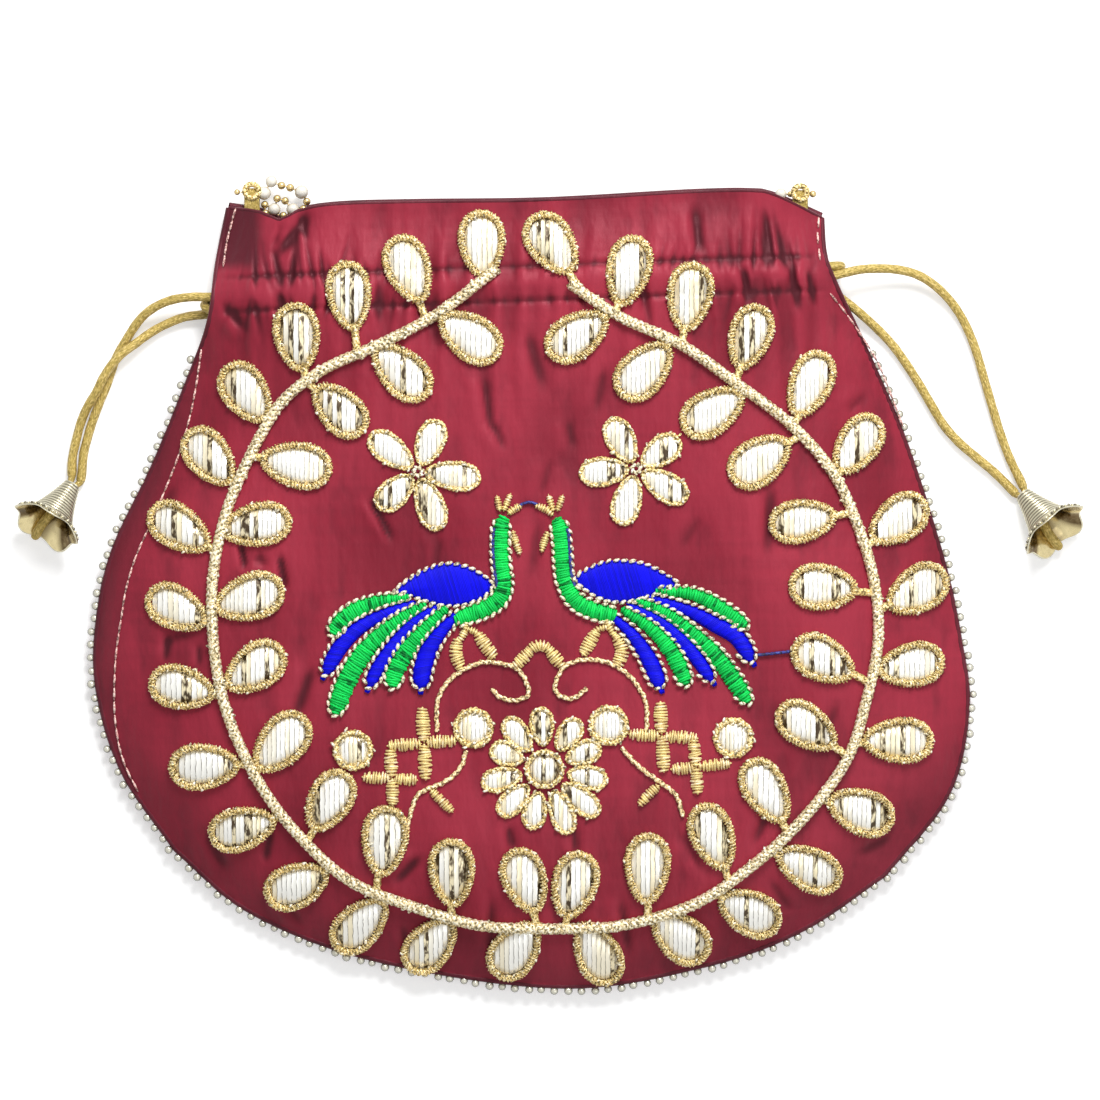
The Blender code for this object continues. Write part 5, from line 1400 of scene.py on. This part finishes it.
def add_threads(work, route, width, height, pitch, chance, square, club=0.0, radius=0.00036):
    """Threads laid over a route from side to side, each a little askew."""
    line, ahead, half = stroke(route, width, square, club, pitch)
    across = np.linspace(-1, 1, 7)
    for spot, way, reach in zip(line[1:-1], ahead[1:-1], half[1:-1]):
        aside = np.array((-way[1], way[0])) + way * chance.uniform(-0.16, 0.16)
        reach = reach * chance.uniform(0.92, 1.12)
        flat = spot + way * pitch * chance.uniform(-0.2, 0.2) + aside * (reach * across)[:, None]
        arch = on_cloth(flat, 0.0003 + height * (1 - across**2))
        work.tube(arch, radius, 4, count=chance.integers(0, 90) + 0.5)


def add_satin(work, route, width, height, pitch, square, slant=0.0, club=0.0, lift=0.0002):
    """A raised bar of stitches along a route, with a count of its threads."""
    line, ahead, half = stroke(route, width, square, club, 0.0006)
    aside = np.column_stack([-ahead[:, 1], ahead[:, 0]])
    across = np.linspace(-1, 1, 9)
    flat = line[:, None] + aside[:, None] * (half[:, None] * across)[..., None]
    dome = np.sqrt(np.clip(1 - across**2, 0, 1)) * np.minimum(1, half[:, None] / half.max() + 0.2)
    x, y = flat[..., 0].ravel(), flat[..., 1].ravel()
    z = front_surface(x, y).reshape(dome.shape) + lift + height * dome - 0.0003 * (across**2 > 0.99)
    count = lengths_along(line)[:, None] / pitch + slant * across * half[:, None] / pitch
    work.grid(np.dstack([flat, z]), count=count)
    return line, aside, half


def add_grain_chain(work, line, chance, lift=0.0011, gap=0.0022, turn_by=0.42):
    """Short slanted stitches one behind another along a line."""
    spots = even_steps(line, gap)
    for spot, ahead in zip(spots, np.gradient(spots, axis=0)):
        turn = math.atan2(ahead[1], ahead[0]) + turn_by * chance.uniform(0.4, 1.4)
        place = on_cloth([spot], lift)[0]
        way = (math.cos(turn), math.sin(turn), chance.uniform(-0.1, 0.15))
        size = chance.uniform(0.9, 1.12)
        work.grain(place, way, 0.0024 * size, 0.00115 * size)


def edge_of(line, aside, half, way, both):
    """The line beside a bar of stitches and round its far end."""
    past = (half + 0.0004)[:, None]
    near = (line + way * aside * past)[3:-1]
    tip = line[-1:] + (line[-1] - line[-2]) * 0.8
    back = (line - way * aside * past)[3:-1][::-1]
    return np.vstack([near, tip, back if both else back[:5]])


def make_peacock(side, look):
    chance = np.random.default_rng(21 if side == "left" else 22)
    parts = PEACOCKS[side]
    prefix = f"peacock_{side}_"
    grains = Work()
    body = Work("count")
    outline = closed_curve(millimetres(parts["body"]), 0.0012)
    middle = outline[:-1].mean(0)
    shares = np.array((1.0, 0.96, 0.86, 0.65, 0.35, 0.0))[:, None, None]
    flat = middle + (outline - middle) * shares
    lift = 0.0014 * np.sqrt(1 - shares[..., 0] ** 2) * np.ones(len(outline))
    z = front_surface(flat[..., 0].ravel(), flat[..., 1].ravel()).reshape(lift.shape) + 0.0002 + lift
    body.grid(np.dstack([flat, z]), count=flat[..., 0] / 0.00042 + 0.3 * flat[..., 1] / 0.00042)
    blue = body.finish(prefix + "blue_body", look["blue"])
    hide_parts(prefix + "body")
    add_grain_chain(grains, outline, chance)
    outwards = -1 if side == "left" else 1
    work = Work("count")
    route, width = parts["neck"]
    line, aside, half = add_satin(work, route, width, 0.0012, 0.00048, 12, 0.35)
    add_threads(work, route, width, 0.0013, 0.00066, chance, 12)
    neck = work.finish(prefix + "green_neck", look["green"])
    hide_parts(prefix + "neck")
    for way in (1, -1):
        add_grain_chain(grains, (line + way * aside * (half + 0.0004)[:, None])[4:-3], chance, 0.0010)
    back = (line + outwards * aside * (half - 0.0001)[:, None])[6:34]
    strip = Work("run", "turn")
    strip.tube(on_cloth(back, 0.0009), 0.0006, 6)
    strip.finish(prefix + "neck_strip", look["jump"])
    for name in FEATHERS:
        work = Work("count")
        route, width = parts[name]
        colour = name.split("_")[0]
        first, second = np.array(route[0]), np.array(route[1])
        route = (tuple(first + 2.0 * (first - second) / np.linalg.norm(first - second)), *route)
        line, aside, half = add_satin(work, route, width * 1.12, 0.0012, 0.00048, 9, -0.45 * outwards, 0.45)
        if colour == "green":
            add_threads(work, route, width * 1.12, 0.0013, 0.00072, chance, 9, 0.45)
        feather = work.finish(prefix + name + "_stitches", look[colour])
        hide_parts(prefix + name)
        edge = edge_of(line, aside, half, outwards, name == FEATHERS[-1])
        add_grain_chain(grains, edge, chance, 0.0011)
        if colour == "blue":
            tip = line[-1] + (line[-1] - line[-4]) * 0.45
            add_satin_tip(prefix + name + "_tip", tip, line[-1] - line[-4], look["blue"])
    crest = Work("count")
    for spindle in parts["crest"]:
        add_satin(crest, spindle, 1.0, 0.0010, 0.0005, 2)
        add_threads(crest, spindle, 1.45, 0.0011, 0.0007, chance, 2, radius=0.0003)
    crest = crest.finish(prefix + "crest_stitches", look["tan"])
    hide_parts(prefix + "crest")
    beak = Work("count")
    for spindle in (*parts["beak"], *parts["wattle"]):
        add_satin(beak, spindle, 1.2, 0.0010, 0.0005, 2)
        add_threads(beak, spindle, 1.7, 0.0011, 0.0007, chance, 2, radius=0.0003)
    beak = beak.finish(prefix + "beak_stitches", look["tan"])
    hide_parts(prefix + "beak")
    chain = grains.finish(prefix + "grain_outline", look["grains"], weld=False)


def add_satin_tip(name, place, ahead, finish):
    """A few stitches of blue that stand past a feather's end."""
    work = Work()
    ahead = ahead / np.linalg.norm(ahead)
    for off in (-0.0004, 0.0, 0.0004):
        spot = place + np.array((-ahead[1], ahead[0])) * off
        work.grain(on_cloth([spot], 0.0006)[0], (*ahead, 0.0), 0.0024, 0.0009)
    work.finish(name, finish, weld=False)


def make_thread_piece(name, look, chance):
    if name in LINES:
        ropes = Work("run", "turn", "strand")
        line = even_steps(smooth_curve(millimetres(LINES[name]), 0.0004), 0.0005)
        run = lengths_along(line)
        ahead = np.gradient(line, axis=0)
        ahead /= np.linalg.norm(ahead, axis=1)[:, None]
        waver = 0.00012 * np.sin(run * 2 * math.pi / 0.0027)
        line = line + np.column_stack([-ahead[:, 1], ahead[:, 0]]) * waver[:, None]
        ropes.rope(on_cloth(line, 0.0005), 0.00076, 0.0034, 2, 0.66)
        ropes.finish(name + "_twist", look["tan_line"])
    if name in SPINDLES:
        work = Work("count")
        for *route, width in SPINDLES[name]:
            ends = np.array(route)
            past = ends[-1] - ends[0]
            past *= 0.7 / np.linalg.norm(past)
            route = (ends[0] - past, *ends[1:-1], ends[-1] + past)
            add_satin(work, route, width * 0.7, 0.0009, 0.00062, 2)
            add_threads(work, route, width * 1.05, 0.0011, 0.00078, chance, 3.2, radius=0.00031)
        work.finish(name + "_stitches", look["tan"])
    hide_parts(name)


# Bells
def bell_frame(side):
    (x, y), (east, north) = BELLS[side]
    tilt = math.atan2(BELL_MOUTH_RADIUS - BELL_NECK_RADIUS, BELL_LENGTH)
    level = math.hypot(east, north)
    axis = Vector((east / level * math.cos(tilt), north / level * math.cos(tilt), math.sin(tilt)))
    neck = Vector((x * MM, y * MM, BELL_NECK_RADIUS * math.cos(tilt) + 0.00002))
    return Matrix.Translation(neck) @ axis.to_track_quat("Z", "X").to_matrix().to_4x4()


def turned(profile, steps):
    """Spins a profile of (radius, height) points about Z."""
    bm = bmesh.new()
    verts = [bm.verts.new((radius, 0, height)) for radius, height in profile]
    edges = [bm.edges.new(pair) for pair in zip(verts, verts[1:])]
    bmesh.ops.spin(
        bm, geom=verts + edges, cent=(0, 0, 0), axis=(0, 0, 1), dvec=(0, 0, 0),
        angle=2 * math.pi, steps=steps, use_merge=True, use_duplicate=False,
    )
    bmesh.ops.remove_doubles(bm, verts=bm.verts, dist=1e-6)
    bmesh.ops.recalc_face_normals(bm, faces=bm.faces)
    return bm


def bell_shape(at):
    """Outside radius of a bell at a share of its length."""
    heights = (0, 0.26, 0.52, 0.72, 0.87, 1)
    flare = (0, 0.14, 0.31, 0.48, 0.70, 1)
    return BELL_NECK_RADIUS + np.interp(at, heights, flare) * (BELL_MOUTH_RADIUS - BELL_NECK_RADIUS)


def scalloped(spots):
    """Pulls the rim in between its lobes."""
    angle = np.arctan2(spots[:, 1], spots[:, 0])
    rim = np.clip(spots[:, 2] / BELL_LENGTH, 0, 1.1) ** 6 * (1 - np.cos(BELL_LOBES * angle)) / 2
    moved = spots.copy()
    moved[:, :2] *= (1 - BELL_SCALLOP * rim)[:, None]
    moved[:, 2] -= BELL_SCALLOP * BELL_MOUTH_RADIUS * rim
    return moved


def bell_half(side, name, profile, finish, dips):
    bm = turned(profile, 12 * BELL_LOBES)
    spots = np.array([v.co for v in bm.verts])
    layer = bm.verts.layers.float.new("dip")
    for vert, spot, before in zip(bm.verts, scalloped(spots), spots):
        vert.co = spot
        vert[layer] = dips(before[2] / BELL_LENGTH, math.atan2(before[1], before[0]))
    mesh = bpy.data.meshes.new(name)
    bm.to_mesh(mesh)
    bm.free()
    mesh.transform(bell_frame(side))
    mesh.shade_smooth()
    obj = keep_object(name, mesh, finish, "bell_" + side)
    return obj


def make_bell(side, look):
    at = np.linspace(0, 1, 80)
    rib = BELL_LENGTH / 15
    ribs = np.where(at < 0.80, 0.00019 * np.cos(2 * math.pi * at * BELL_LENGTH / rib), 0.0)
    ridge = 0.0006 * np.exp(-(((at - 0.90) / 0.035) ** 2))
    outside = np.column_stack([bell_shape(at) + ribs + ridge, at * BELL_LENGTH])
    rim = [(BELL_MOUTH_RADIUS - BELL_WALL / 2, BELL_LENGTH + 0.0002)]
    back = np.linspace(1, 0, 30)
    inside = np.column_stack([bell_shape(back) - BELL_WALL, back * BELL_LENGTH])
    # The dip mark sets painted shade: in the grooves between the ribs outside, and inside darker towards the
    # neck and in places round it.
    outer = bell_half(
        side, "ribbed_bell_" + side, [*map(tuple, outside), *rim, tuple(inside[0])], look["bell"],
        lambda share, _turn: 0.5 - 0.5 * math.cos(30 * math.pi * share) if share < 0.8 else 0.15,
    )
    inner = bell_half(
        side, "bell_inside_" + side, [*map(tuple, inside), tuple(outside[0])], look["bell_inside"],
        lambda share, turn: (
            1.2 - 0.8 * share - 0.7 * share * math.cos(BELL_LOBES * turn + 0.6)
            + 0.45 * math.cos(3 * turn + 1)
        ),
    )
    inner.data.flip_normals()
    dots = Work("dip")
    frame_of = np.array(bell_frame(side))
    for k in range(55):
        turn = 2 * math.pi * k / 55
        radius = bell_shape(0.92) + 0.0006
        spot = scalloped(np.array([
            (radius * math.cos(turn), radius * math.sin(turn), 0.92 * BELL_LENGTH),
        ]))[0]
        # Every second bead is darkened by the dip mark: painted shade.
        dots.ball(frame_of[:3, :3] @ spot + frame_of[:3, 3], 0.00045, 6, 4, dip=float(k % 2))
    ring = dots.finish("bell_beading_" + side, look["bell"], "bell_" + side, weld=False)
    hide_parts("bell_" + side)
    return [outer, inner, ring]


def make_knot(side, line, look):
    """The cord's two ends, drawn together through the neck and lying out to the bell's rim."""
    place = np.array(bell_frame(side))
    axis, neck = place[:3, 2], place[:3, 3]
    level = np.array((-axis[1], axis[0], 0)) / math.hypot(axis[0], axis[1])
    down = np.cross(axis, level)
    down = -down if down[2] > 0 else down
    knot = Work("run", "turn")
    squeezed = 0.00080
    for end in (line[:5], line[-5:][::-1]):
        way = math.copysign(squeezed, (end[0] - neck) @ level)
        through = [neck + way * level, neck + way * level + 0.25 * BELL_LENGTH * axis]
        path = smooth_curve([end[4], end[0], *through], 0.0004)
        share = smoothstep(0.25, 0.62, np.linspace(0, 1, len(path)))
        knot.tube(path, CORD_DIAMETER / 2 * (1.02 - share) + squeezed * share, 12)
    at = np.linspace(0.12, 0.97, 12)
    drop = np.clip(bell_shape(at) - BELL_WALL - 0.0017, 0, 1) * smoothstep(0.1, 0.6, at)
    aside = -0.0016 * smoothstep(0.2, 0.9, at)
    tail = neck + np.outer(at * BELL_LENGTH, axis) + np.outer(drop, down) + np.outer(aside, level)
    tail = smooth_curve(tail, 0.0005)
    knot.tube(tail, 0.0013, 12)
    knot.ball(tail[-1], 0.0013, 12, 8)
    knot = knot.finish("cord_knot_" + side, look["cord"])
    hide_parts("knot_" + side)
    return knot


# Beads
def make_edge_beads(look):
    first = CASING_FROM_ORIGIN - 0.012
    below = SEAM[SEAM[:, 1] < first - 0.004]
    ahead = np.gradient(below, axis=0)
    ahead /= np.linalg.norm(ahead, axis=1)[:, None]
    outwards = np.column_stack([ahead[:, 1], -ahead[:, 0]])
    line = below + outwards * (EDGE_BEAD_DIAMETER / 2 + CLEARANCE)
    spots = smooth_curve(line, EDGE_BEAD_PITCH / 2)[1::2]
    chance = np.random.default_rng(8)
    beads = Work()
    places = np.column_stack([spots, np.full(len(spots), SEAM_HEIGHT)])
    ties = Work()
    for place, ahead in zip(places, np.gradient(places, axis=0)):
        outward = np.array((ahead[1], -ahead[0], 0)) / np.linalg.norm(ahead)
        jitter = chance.uniform(-1, 1, 3) * (0.00030, 0.00030, 0.00025)
        beads.ball(place + jitter, EDGE_BEAD_DIAMETER / 2 * chance.uniform(0.98, 1.14), 10, 6)
        ties.grain(place - 0.0009 * outward, outward, 0.0026, 0.0006)
    obj = beads.finish("glass_edge_beads", look["glass"], weld=False)
    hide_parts("edge_beads")
    ties.finish("edge_bead_stitches", look["dark_silk"], weld=False)


def handle_height(x, y):
    lip = LIP[0][1] * MM
    rest = lining_back_height(x, np.minimum(y, lip)) + LINING_CLOTH + 1.5 * CLEARANCE
    past_lip = smoothstep(lip - TAB_REACH_IN * MM, lip, y)
    return rest + PEARL_DIAMETER / 2 - HANDLE_DROP * past_lip


def make_handle(look):
    pearls, golds = Work(), Work()
    inside = smooth_curve(millimetres(HANDLE_INSIDE), 0.001)
    z = handle_height(inside[:, 0], inside[:, 1])
    z = np.convolve(np.pad(z, 6, mode="edge"), np.ones(13) / 13, mode="valid")
    line = np.column_stack([inside, z])
    run = lengths_along(line)
    at, beads = GOLD_BEAD_DIAMETER, 0
    while at < run[-1] - PEARL_DIAMETER:
        size = PEARL_DIAMETER if beads % 3 == 1 else GOLD_BEAD_DIAMETER
        spot = [np.interp(at + size / 2, run, line[:, k]) for k in range(3)]
        (pearls if beads % 3 == 1 else golds).ball(spot, size / 2 * 0.98, 10, 8)
        at += size
        beads += 1
    threads = [line]
    for beads_shown in HANDLE_SHOWN.values():
        flat = millimetres([bead[:2] for bead in beads_shown])
        lift = handle_height(flat[:, 0], flat[:, 1])
        threads.append(np.column_stack([flat, lift]))
        for (_x, _y, size, kind), spot in zip(beads_shown, threads[-1]):
            (pearls if kind == "pearl" else golds).ball(spot, size * MM / 2, 14, 10)
    thread = Work("run", "turn")
    for path in threads:
        thread.tube(even_steps(path, 0.001), THREAD_DIAMETER / 3, 5)
    pearl = pearls.finish("handle_pearls", look["pearl"], weld=False)
    gold = golds.finish("handle_gold_beads", look["gold_bead"], weld=False)
    string = thread.finish("handle_thread", look["tan_line"])
    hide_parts("handle_strand")


def make_tab(side, look):
    """A folded strip sewn inside the lip, with the strand through its fold."""
    x, y = millimetres(HANDLE_TABS[side])
    level = handle_height(np.array([x]), np.array([y]))[0]
    radius = THREAD_DIAMETER / 2 + CLEARANCE + TAB_CLOTH / 2
    inner = y - TAB_REACH_IN * MM
    profile = [(inner, level - radius)]
    for turn in np.linspace(-math.pi / 2, math.pi / 2, 9):
        profile.append((y + radius * math.cos(turn), level + radius * math.sin(turn)))
    profile.append((inner, level + radius))
    profile = even_steps(np.array(profile), 0.0006)
    across = np.linspace(-TAB_WIDTH / 2, TAB_WIDTH / 2, 9)
    points = np.zeros((len(profile), len(across), 3))
    points[..., 0] = x + across
    points[..., 1:] = profile[:, None]
    tab = Work("run", "turn")
    tab.grid(points, run=lengths_along(profile)[:, None], turn=across / TAB_WIDTH)
    obj = tab.finish("satin_tab_" + side, look["cord"], weld=False)
    thick = obj.modifiers.new("Cloth", "SOLIDIFY")
    thick.thickness = TAB_CLOTH
    thick.offset = 0
    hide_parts("handle_tab_" + side)
    ring = Work("run", "turn", "strand")
    loop = round_outline((x, y + 0.0003), 0.0019, 40)
    ring.rope(np.column_stack([loop, np.full(len(loop), level + 0.0012)]), 0.0009, 0.0019, strands=3)
    ring.finish("tab_rope_" + side, look["rope"])


# Stage
def area_light(name, place, aim, size, power):
    data = bpy.data.lights.new(name, "AREA")
    data.shape = "SQUARE"
    data.size = size
    data.energy = power
    obj = bpy.data.objects.new(name, data)
    obj.location = place
    obj.rotation_euler = (Vector(aim) - Vector(place)).to_track_quat("-Z", "Y").to_euler()
    bpy.context.scene.collection.objects.link(obj)


def seen_rays(tree):
    """1 for rays from the camera or by way of metal and glass."""
    rays = node(tree, "ShaderNodeLightPath").outputs
    seen = math_node(tree, "ADD", rays["Is Camera Ray"], rays["Is Glossy Ray"])
    return math_node(tree, "ADD", seen, rays["Is Transmission Ray"], clamp=True)


def floor_material(colour):
    made, tree, shader = new_material("Pale floor")
    shader.inputs["Base Color"].default_value = (*colour, 1)
    shader.inputs["Roughness"].default_value = 0.9
    shader.inputs["Specular IOR Level"].default_value = 0.1
    glow_share = math_node(tree, "MULTIPLY", seen_rays(tree), 0.42)
    glow = node(tree, "ShaderNodeEmission", {"Color": (1.0, 1.0, 1.0), "Strength": glow_share})
    both = tree.nodes.new("ShaderNodeAddShader")
    tree.links.new(shader.outputs[0], both.inputs[0])
    tree.links.new(glow.outputs[0], both.inputs[1])
    tree.links.new(both.outputs[0], tree.nodes["Material Output"].inputs["Surface"])
    return made


def make_stage():
    stage = bpy.context.scene.potli_stage
    bpy.context.scene.view_settings.view_transform = "Standard"
    bm = bmesh.new()
    bmesh.ops.create_grid(bm, x_segments=4, y_segments=4, size=3.0)
    mesh = bpy.data.meshes.new("floor")
    bm.to_mesh(mesh)
    bm.free()
    floor = bpy.data.objects.new("floor", mesh)
    floor.location = (0, 0, -0.0003)
    mesh.materials.append(floor_material(tuple(stage.floor)))
    bpy.context.scene.collection.objects.link(floor)
    world = bpy.data.worlds.new("Studio")
    bpy.context.scene.world = world
    world.use_nodes = True
    tree = world.node_tree
    background = tree.nodes["Background"]
    background.inputs["Color"].default_value = (1, 1, 1, 1)
    strength = ranged(tree, seen_rays(tree), 0, 1, stage.ambient, 1.0)
    tree.links.new(strength, background.inputs["Strength"])
    area_light("key", (0.20, 0.92, 0.90), (0, 0, 0), 0.5, stage.key)
    area_light("fill", (0.6, -0.5, 1.2), (0, 0, 0), 1.0, stage.fill)
    camera = bpy.data.cameras.new("camera")
    height = stage.camera_height
    camera.lens = camera.sensor_width * (height - 0.010) / stage.framed_width
    camera.clip_start = 0.01
    obj = bpy.data.objects.new("camera", camera)
    obj.location = (0.0048, 0.0105, height)
    bpy.context.scene.collection.objects.link(obj)
    bpy.context.scene.camera = obj


# Settings that a user may change
def colour_property(name, description, value):
    return FloatVectorProperty(
        name=name, description=description, subtype="COLOR", size=3, min=0, max=1, default=value,
    )


def length_property(name, description, value):
    return FloatProperty(
        name=name, description=description, default=value, min=0.0001, unit="LENGTH", precision=5,
    )


class PotliColours(bpy.types.PropertyGroup):
    """Colours of the cloth, thread, metal and beads"""

    silk: colour_property("Silk", "Colour of the front and back", (0.252, 0.018, 0.036))
    # Besides the slubs, this colour is the painted shade of the silk: seam strips, dips, folds, wrinkles and
    # the shaded hems.
    silk_shade: colour_property(
        "Silk in shade", "Darker colour of slubs and seam strips", (0.085, 0.012, 0.020),
    )
    lining: colour_property("Lining", "Colour of the lining", (0.195, 0.023, 0.04))
    ribbon: colour_property("Ribbon", "Bright strips of the pleated ribbon", (1.0, 0.99, 0.93))
    gold_thread: colour_property("Gold thread", "Ropes round the leaves", (0.88, 0.64, 0.22))
    blue: colour_property("Blue", "Blue satin stitch", (0.004, 0.004, 0.80))
    green: colour_property("Green", "Green satin stitch", (0.012, 0.70, 0.12))
    cord: colour_property("Cord", "Satin drawcords", (0.54, 0.39, 0.09))
    bell: colour_property("Bell", "Outside of the bells", (0.66, 0.62, 0.47))
    glass: colour_property("Glass", "Beads along the seam", (0.66, 0.64, 0.53))
    pearl: colour_property("Pearl", "Pearls of the handle", (0.88, 0.84, 0.74))


class PotliSizes(bpy.types.PropertyGroup):
    """Sizes of the applique"""

    leaf_length: length_property("Leaf length", "From a leaf's stalk to its end", 0.0178)
    leaf_width: length_property("Leaf width", "Across a leaf", 0.0122)
    rope_radius: length_property("Rope radius", "Half the thickness of the rope round a leaf", 0.00090)


class PotliStage(bpy.types.PropertyGroup):
    """Camera, lights and floor"""

    camera_height: length_property("Camera height", "Height of the camera above the floor", 2.0)
    framed_width: length_property("Framed width", "Width that the picture takes in", 0.303)
    ambient: FloatProperty(name="Ambient", description="Strength of the even light", default=0.34, min=0)
    key: FloatProperty(name="Key", description="Main soft light", default=17.0, min=0, unit="POWER")
    fill: FloatProperty(name="Fill", description="Second soft light", default=4.0, min=0, unit="POWER")
    floor: colour_property("Floor", "Colour of the floor", (0.86, 0.86, 0.86))


class POTLI_OT_stage(bpy.types.Operator):
    """Floor, lights and the camera straight above"""

    bl_idname = "potli.stage"
    bl_label = "Stage"

    def execute(self, context):
        make_stage()
        return {"FINISHED"}


class POTLI_OT_drawcords(bpy.types.Operator):
    """Two satin drawcords, each with its bell and knot"""

    bl_idname = "potli.drawcords"
    bl_label = "Drawcords and bells"

    def execute(self, context):
        look = finishes()
        for side in ("left", "right"):
            cord, line = make_drawcord(side, look["cord"])
            pieces = [*make_bell(side, look), make_knot(side, line, look)]
        return {"FINISHED"}


class POTLI_OT_cloth(bpy.types.Operator):
    """Front, back and lining with their edges and top stitching"""

    bl_idname = "potli.cloth"
    bl_label = "Cloth"

    def execute(self, context):
        make_cloth()
        return {"FINISHED"}


class POTLI_OT_wreaths(bpy.types.Operator):
    """Two stems with ribbon leaves"""

    bl_idname = "potli.wreaths"
    bl_label = "Wreaths"

    def execute(self, context):
        for side in ("left", "right"):
            make_wreath(side, finishes())
        return {"FINISHED"}


class POTLI_OT_flowers(bpy.types.Operator):
    """Three flowers and four discs"""

    bl_idname = "potli.flowers"
    bl_label = "Flowers and discs"

    def execute(self, context):
        look = finishes()
        chance = np.random.default_rng(31)
        stalks = {"left": ((-41.4, 40.2), (-43.6, 41.0)), "right": ((38.4, 40.4), (40.8, 42.4))}
        for side, (centre, petals) in SMALL_FLOWERS.items():
            make_flower("flower_" + side, centre, petals, 0.0082, 0.0022, 0, look, chance, stalks[side])
        make_flower("flower_centre", CENTRE_FLOWER, CENTRE_PETALS, 0.0066, 0.0066, 0.0042, look, chance)
        for name, centre in DISCS.items():
            make_disc(name, centre, look, chance)
        return {"FINISHED"}


class POTLI_OT_peacocks(bpy.types.Operator):
    """Two peacocks in satin stitch"""

    bl_idname = "potli.peacocks"
    bl_label = "Peacocks"

    def execute(self, context):
        for side in ("left", "right"):
            make_peacock(side, finishes())
        return {"FINISHED"}


class POTLI_OT_threads(bpy.types.Operator):
    """Scrolls, crosses, sprigs and loose threads"""

    bl_idname = "potli.threads"
    bl_label = "Thread work"

    def execute(self, context):
        look = finishes()
        chance = np.random.default_rng(41)
        for name in sorted({*SPINDLES, *LINES}):
            make_thread_piece(name, look, chance)
        for name, route in JUMPS.items():
            thread = Work("run", "turn")
            line = even_steps(smooth_curve(millimetres(route), 0.0004), 0.0006)
            thread.tube(on_cloth(line, 0.0009), 0.00042, 6)
            thread.finish(name, look["jump"])
        return {"FINISHED"}


class POTLI_OT_beads(bpy.types.Operator):
    """Glass beads along the seam, and the beaded handle with its tabs"""

    bl_idname = "potli.beads"
    bl_label = "Beads and handle"

    def execute(self, context):
        look = finishes()
        make_edge_beads(look)
        make_handle(look)
        for side in HANDLE_TABS:
            make_tab(side, look)
        return {"FINISHED"}


class POTLI_PT_pieces(bpy.types.Panel):
    """Lists the pieces and their settings"""

    bl_label = "Potli bag"
    bl_space_type = "VIEW_3D"
    bl_region_type = "UI"
    bl_category = "Potli bag"

    def draw(self, context):
        for piece in OPERATORS:
            self.layout.operator(piece.bl_idname)
        for group in (context.scene.potli_colours, context.scene.potli_sizes, context.scene.potli_stage):
            for key in group.__annotations__:
                self.layout.prop(group, key)


OPERATORS = (
    POTLI_OT_stage, POTLI_OT_drawcords, POTLI_OT_cloth, POTLI_OT_wreaths, POTLI_OT_flowers,
    POTLI_OT_peacocks, POTLI_OT_threads, POTLI_OT_beads,
)
GROUPS = {"potli_colours": PotliColours, "potli_sizes": PotliSizes, "potli_stage": PotliStage}


def register():
    for made in (*GROUPS.values(), *OPERATORS, POTLI_PT_pieces):
        bpy.utils.register_class(made)
    for name, group in GROUPS.items():
        setattr(bpy.types.Scene, name, PointerProperty(type=group))


def unregister():
    for name in GROUPS:
        delattr(bpy.types.Scene, name)
    for made in reversed((*GROUPS.values(), *OPERATORS, POTLI_PT_pieces)):
        bpy.utils.unregister_class(made)


def main():
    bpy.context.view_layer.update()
    register()
    for piece in OPERATORS:
        group, name = piece.bl_idname.split(".")
        getattr(getattr(bpy.ops, group), name)()
    for mesh, _spots in TEMPLATES.values():
        bpy.data.meshes.remove(mesh)


if __name__ == "__main__":
    main()
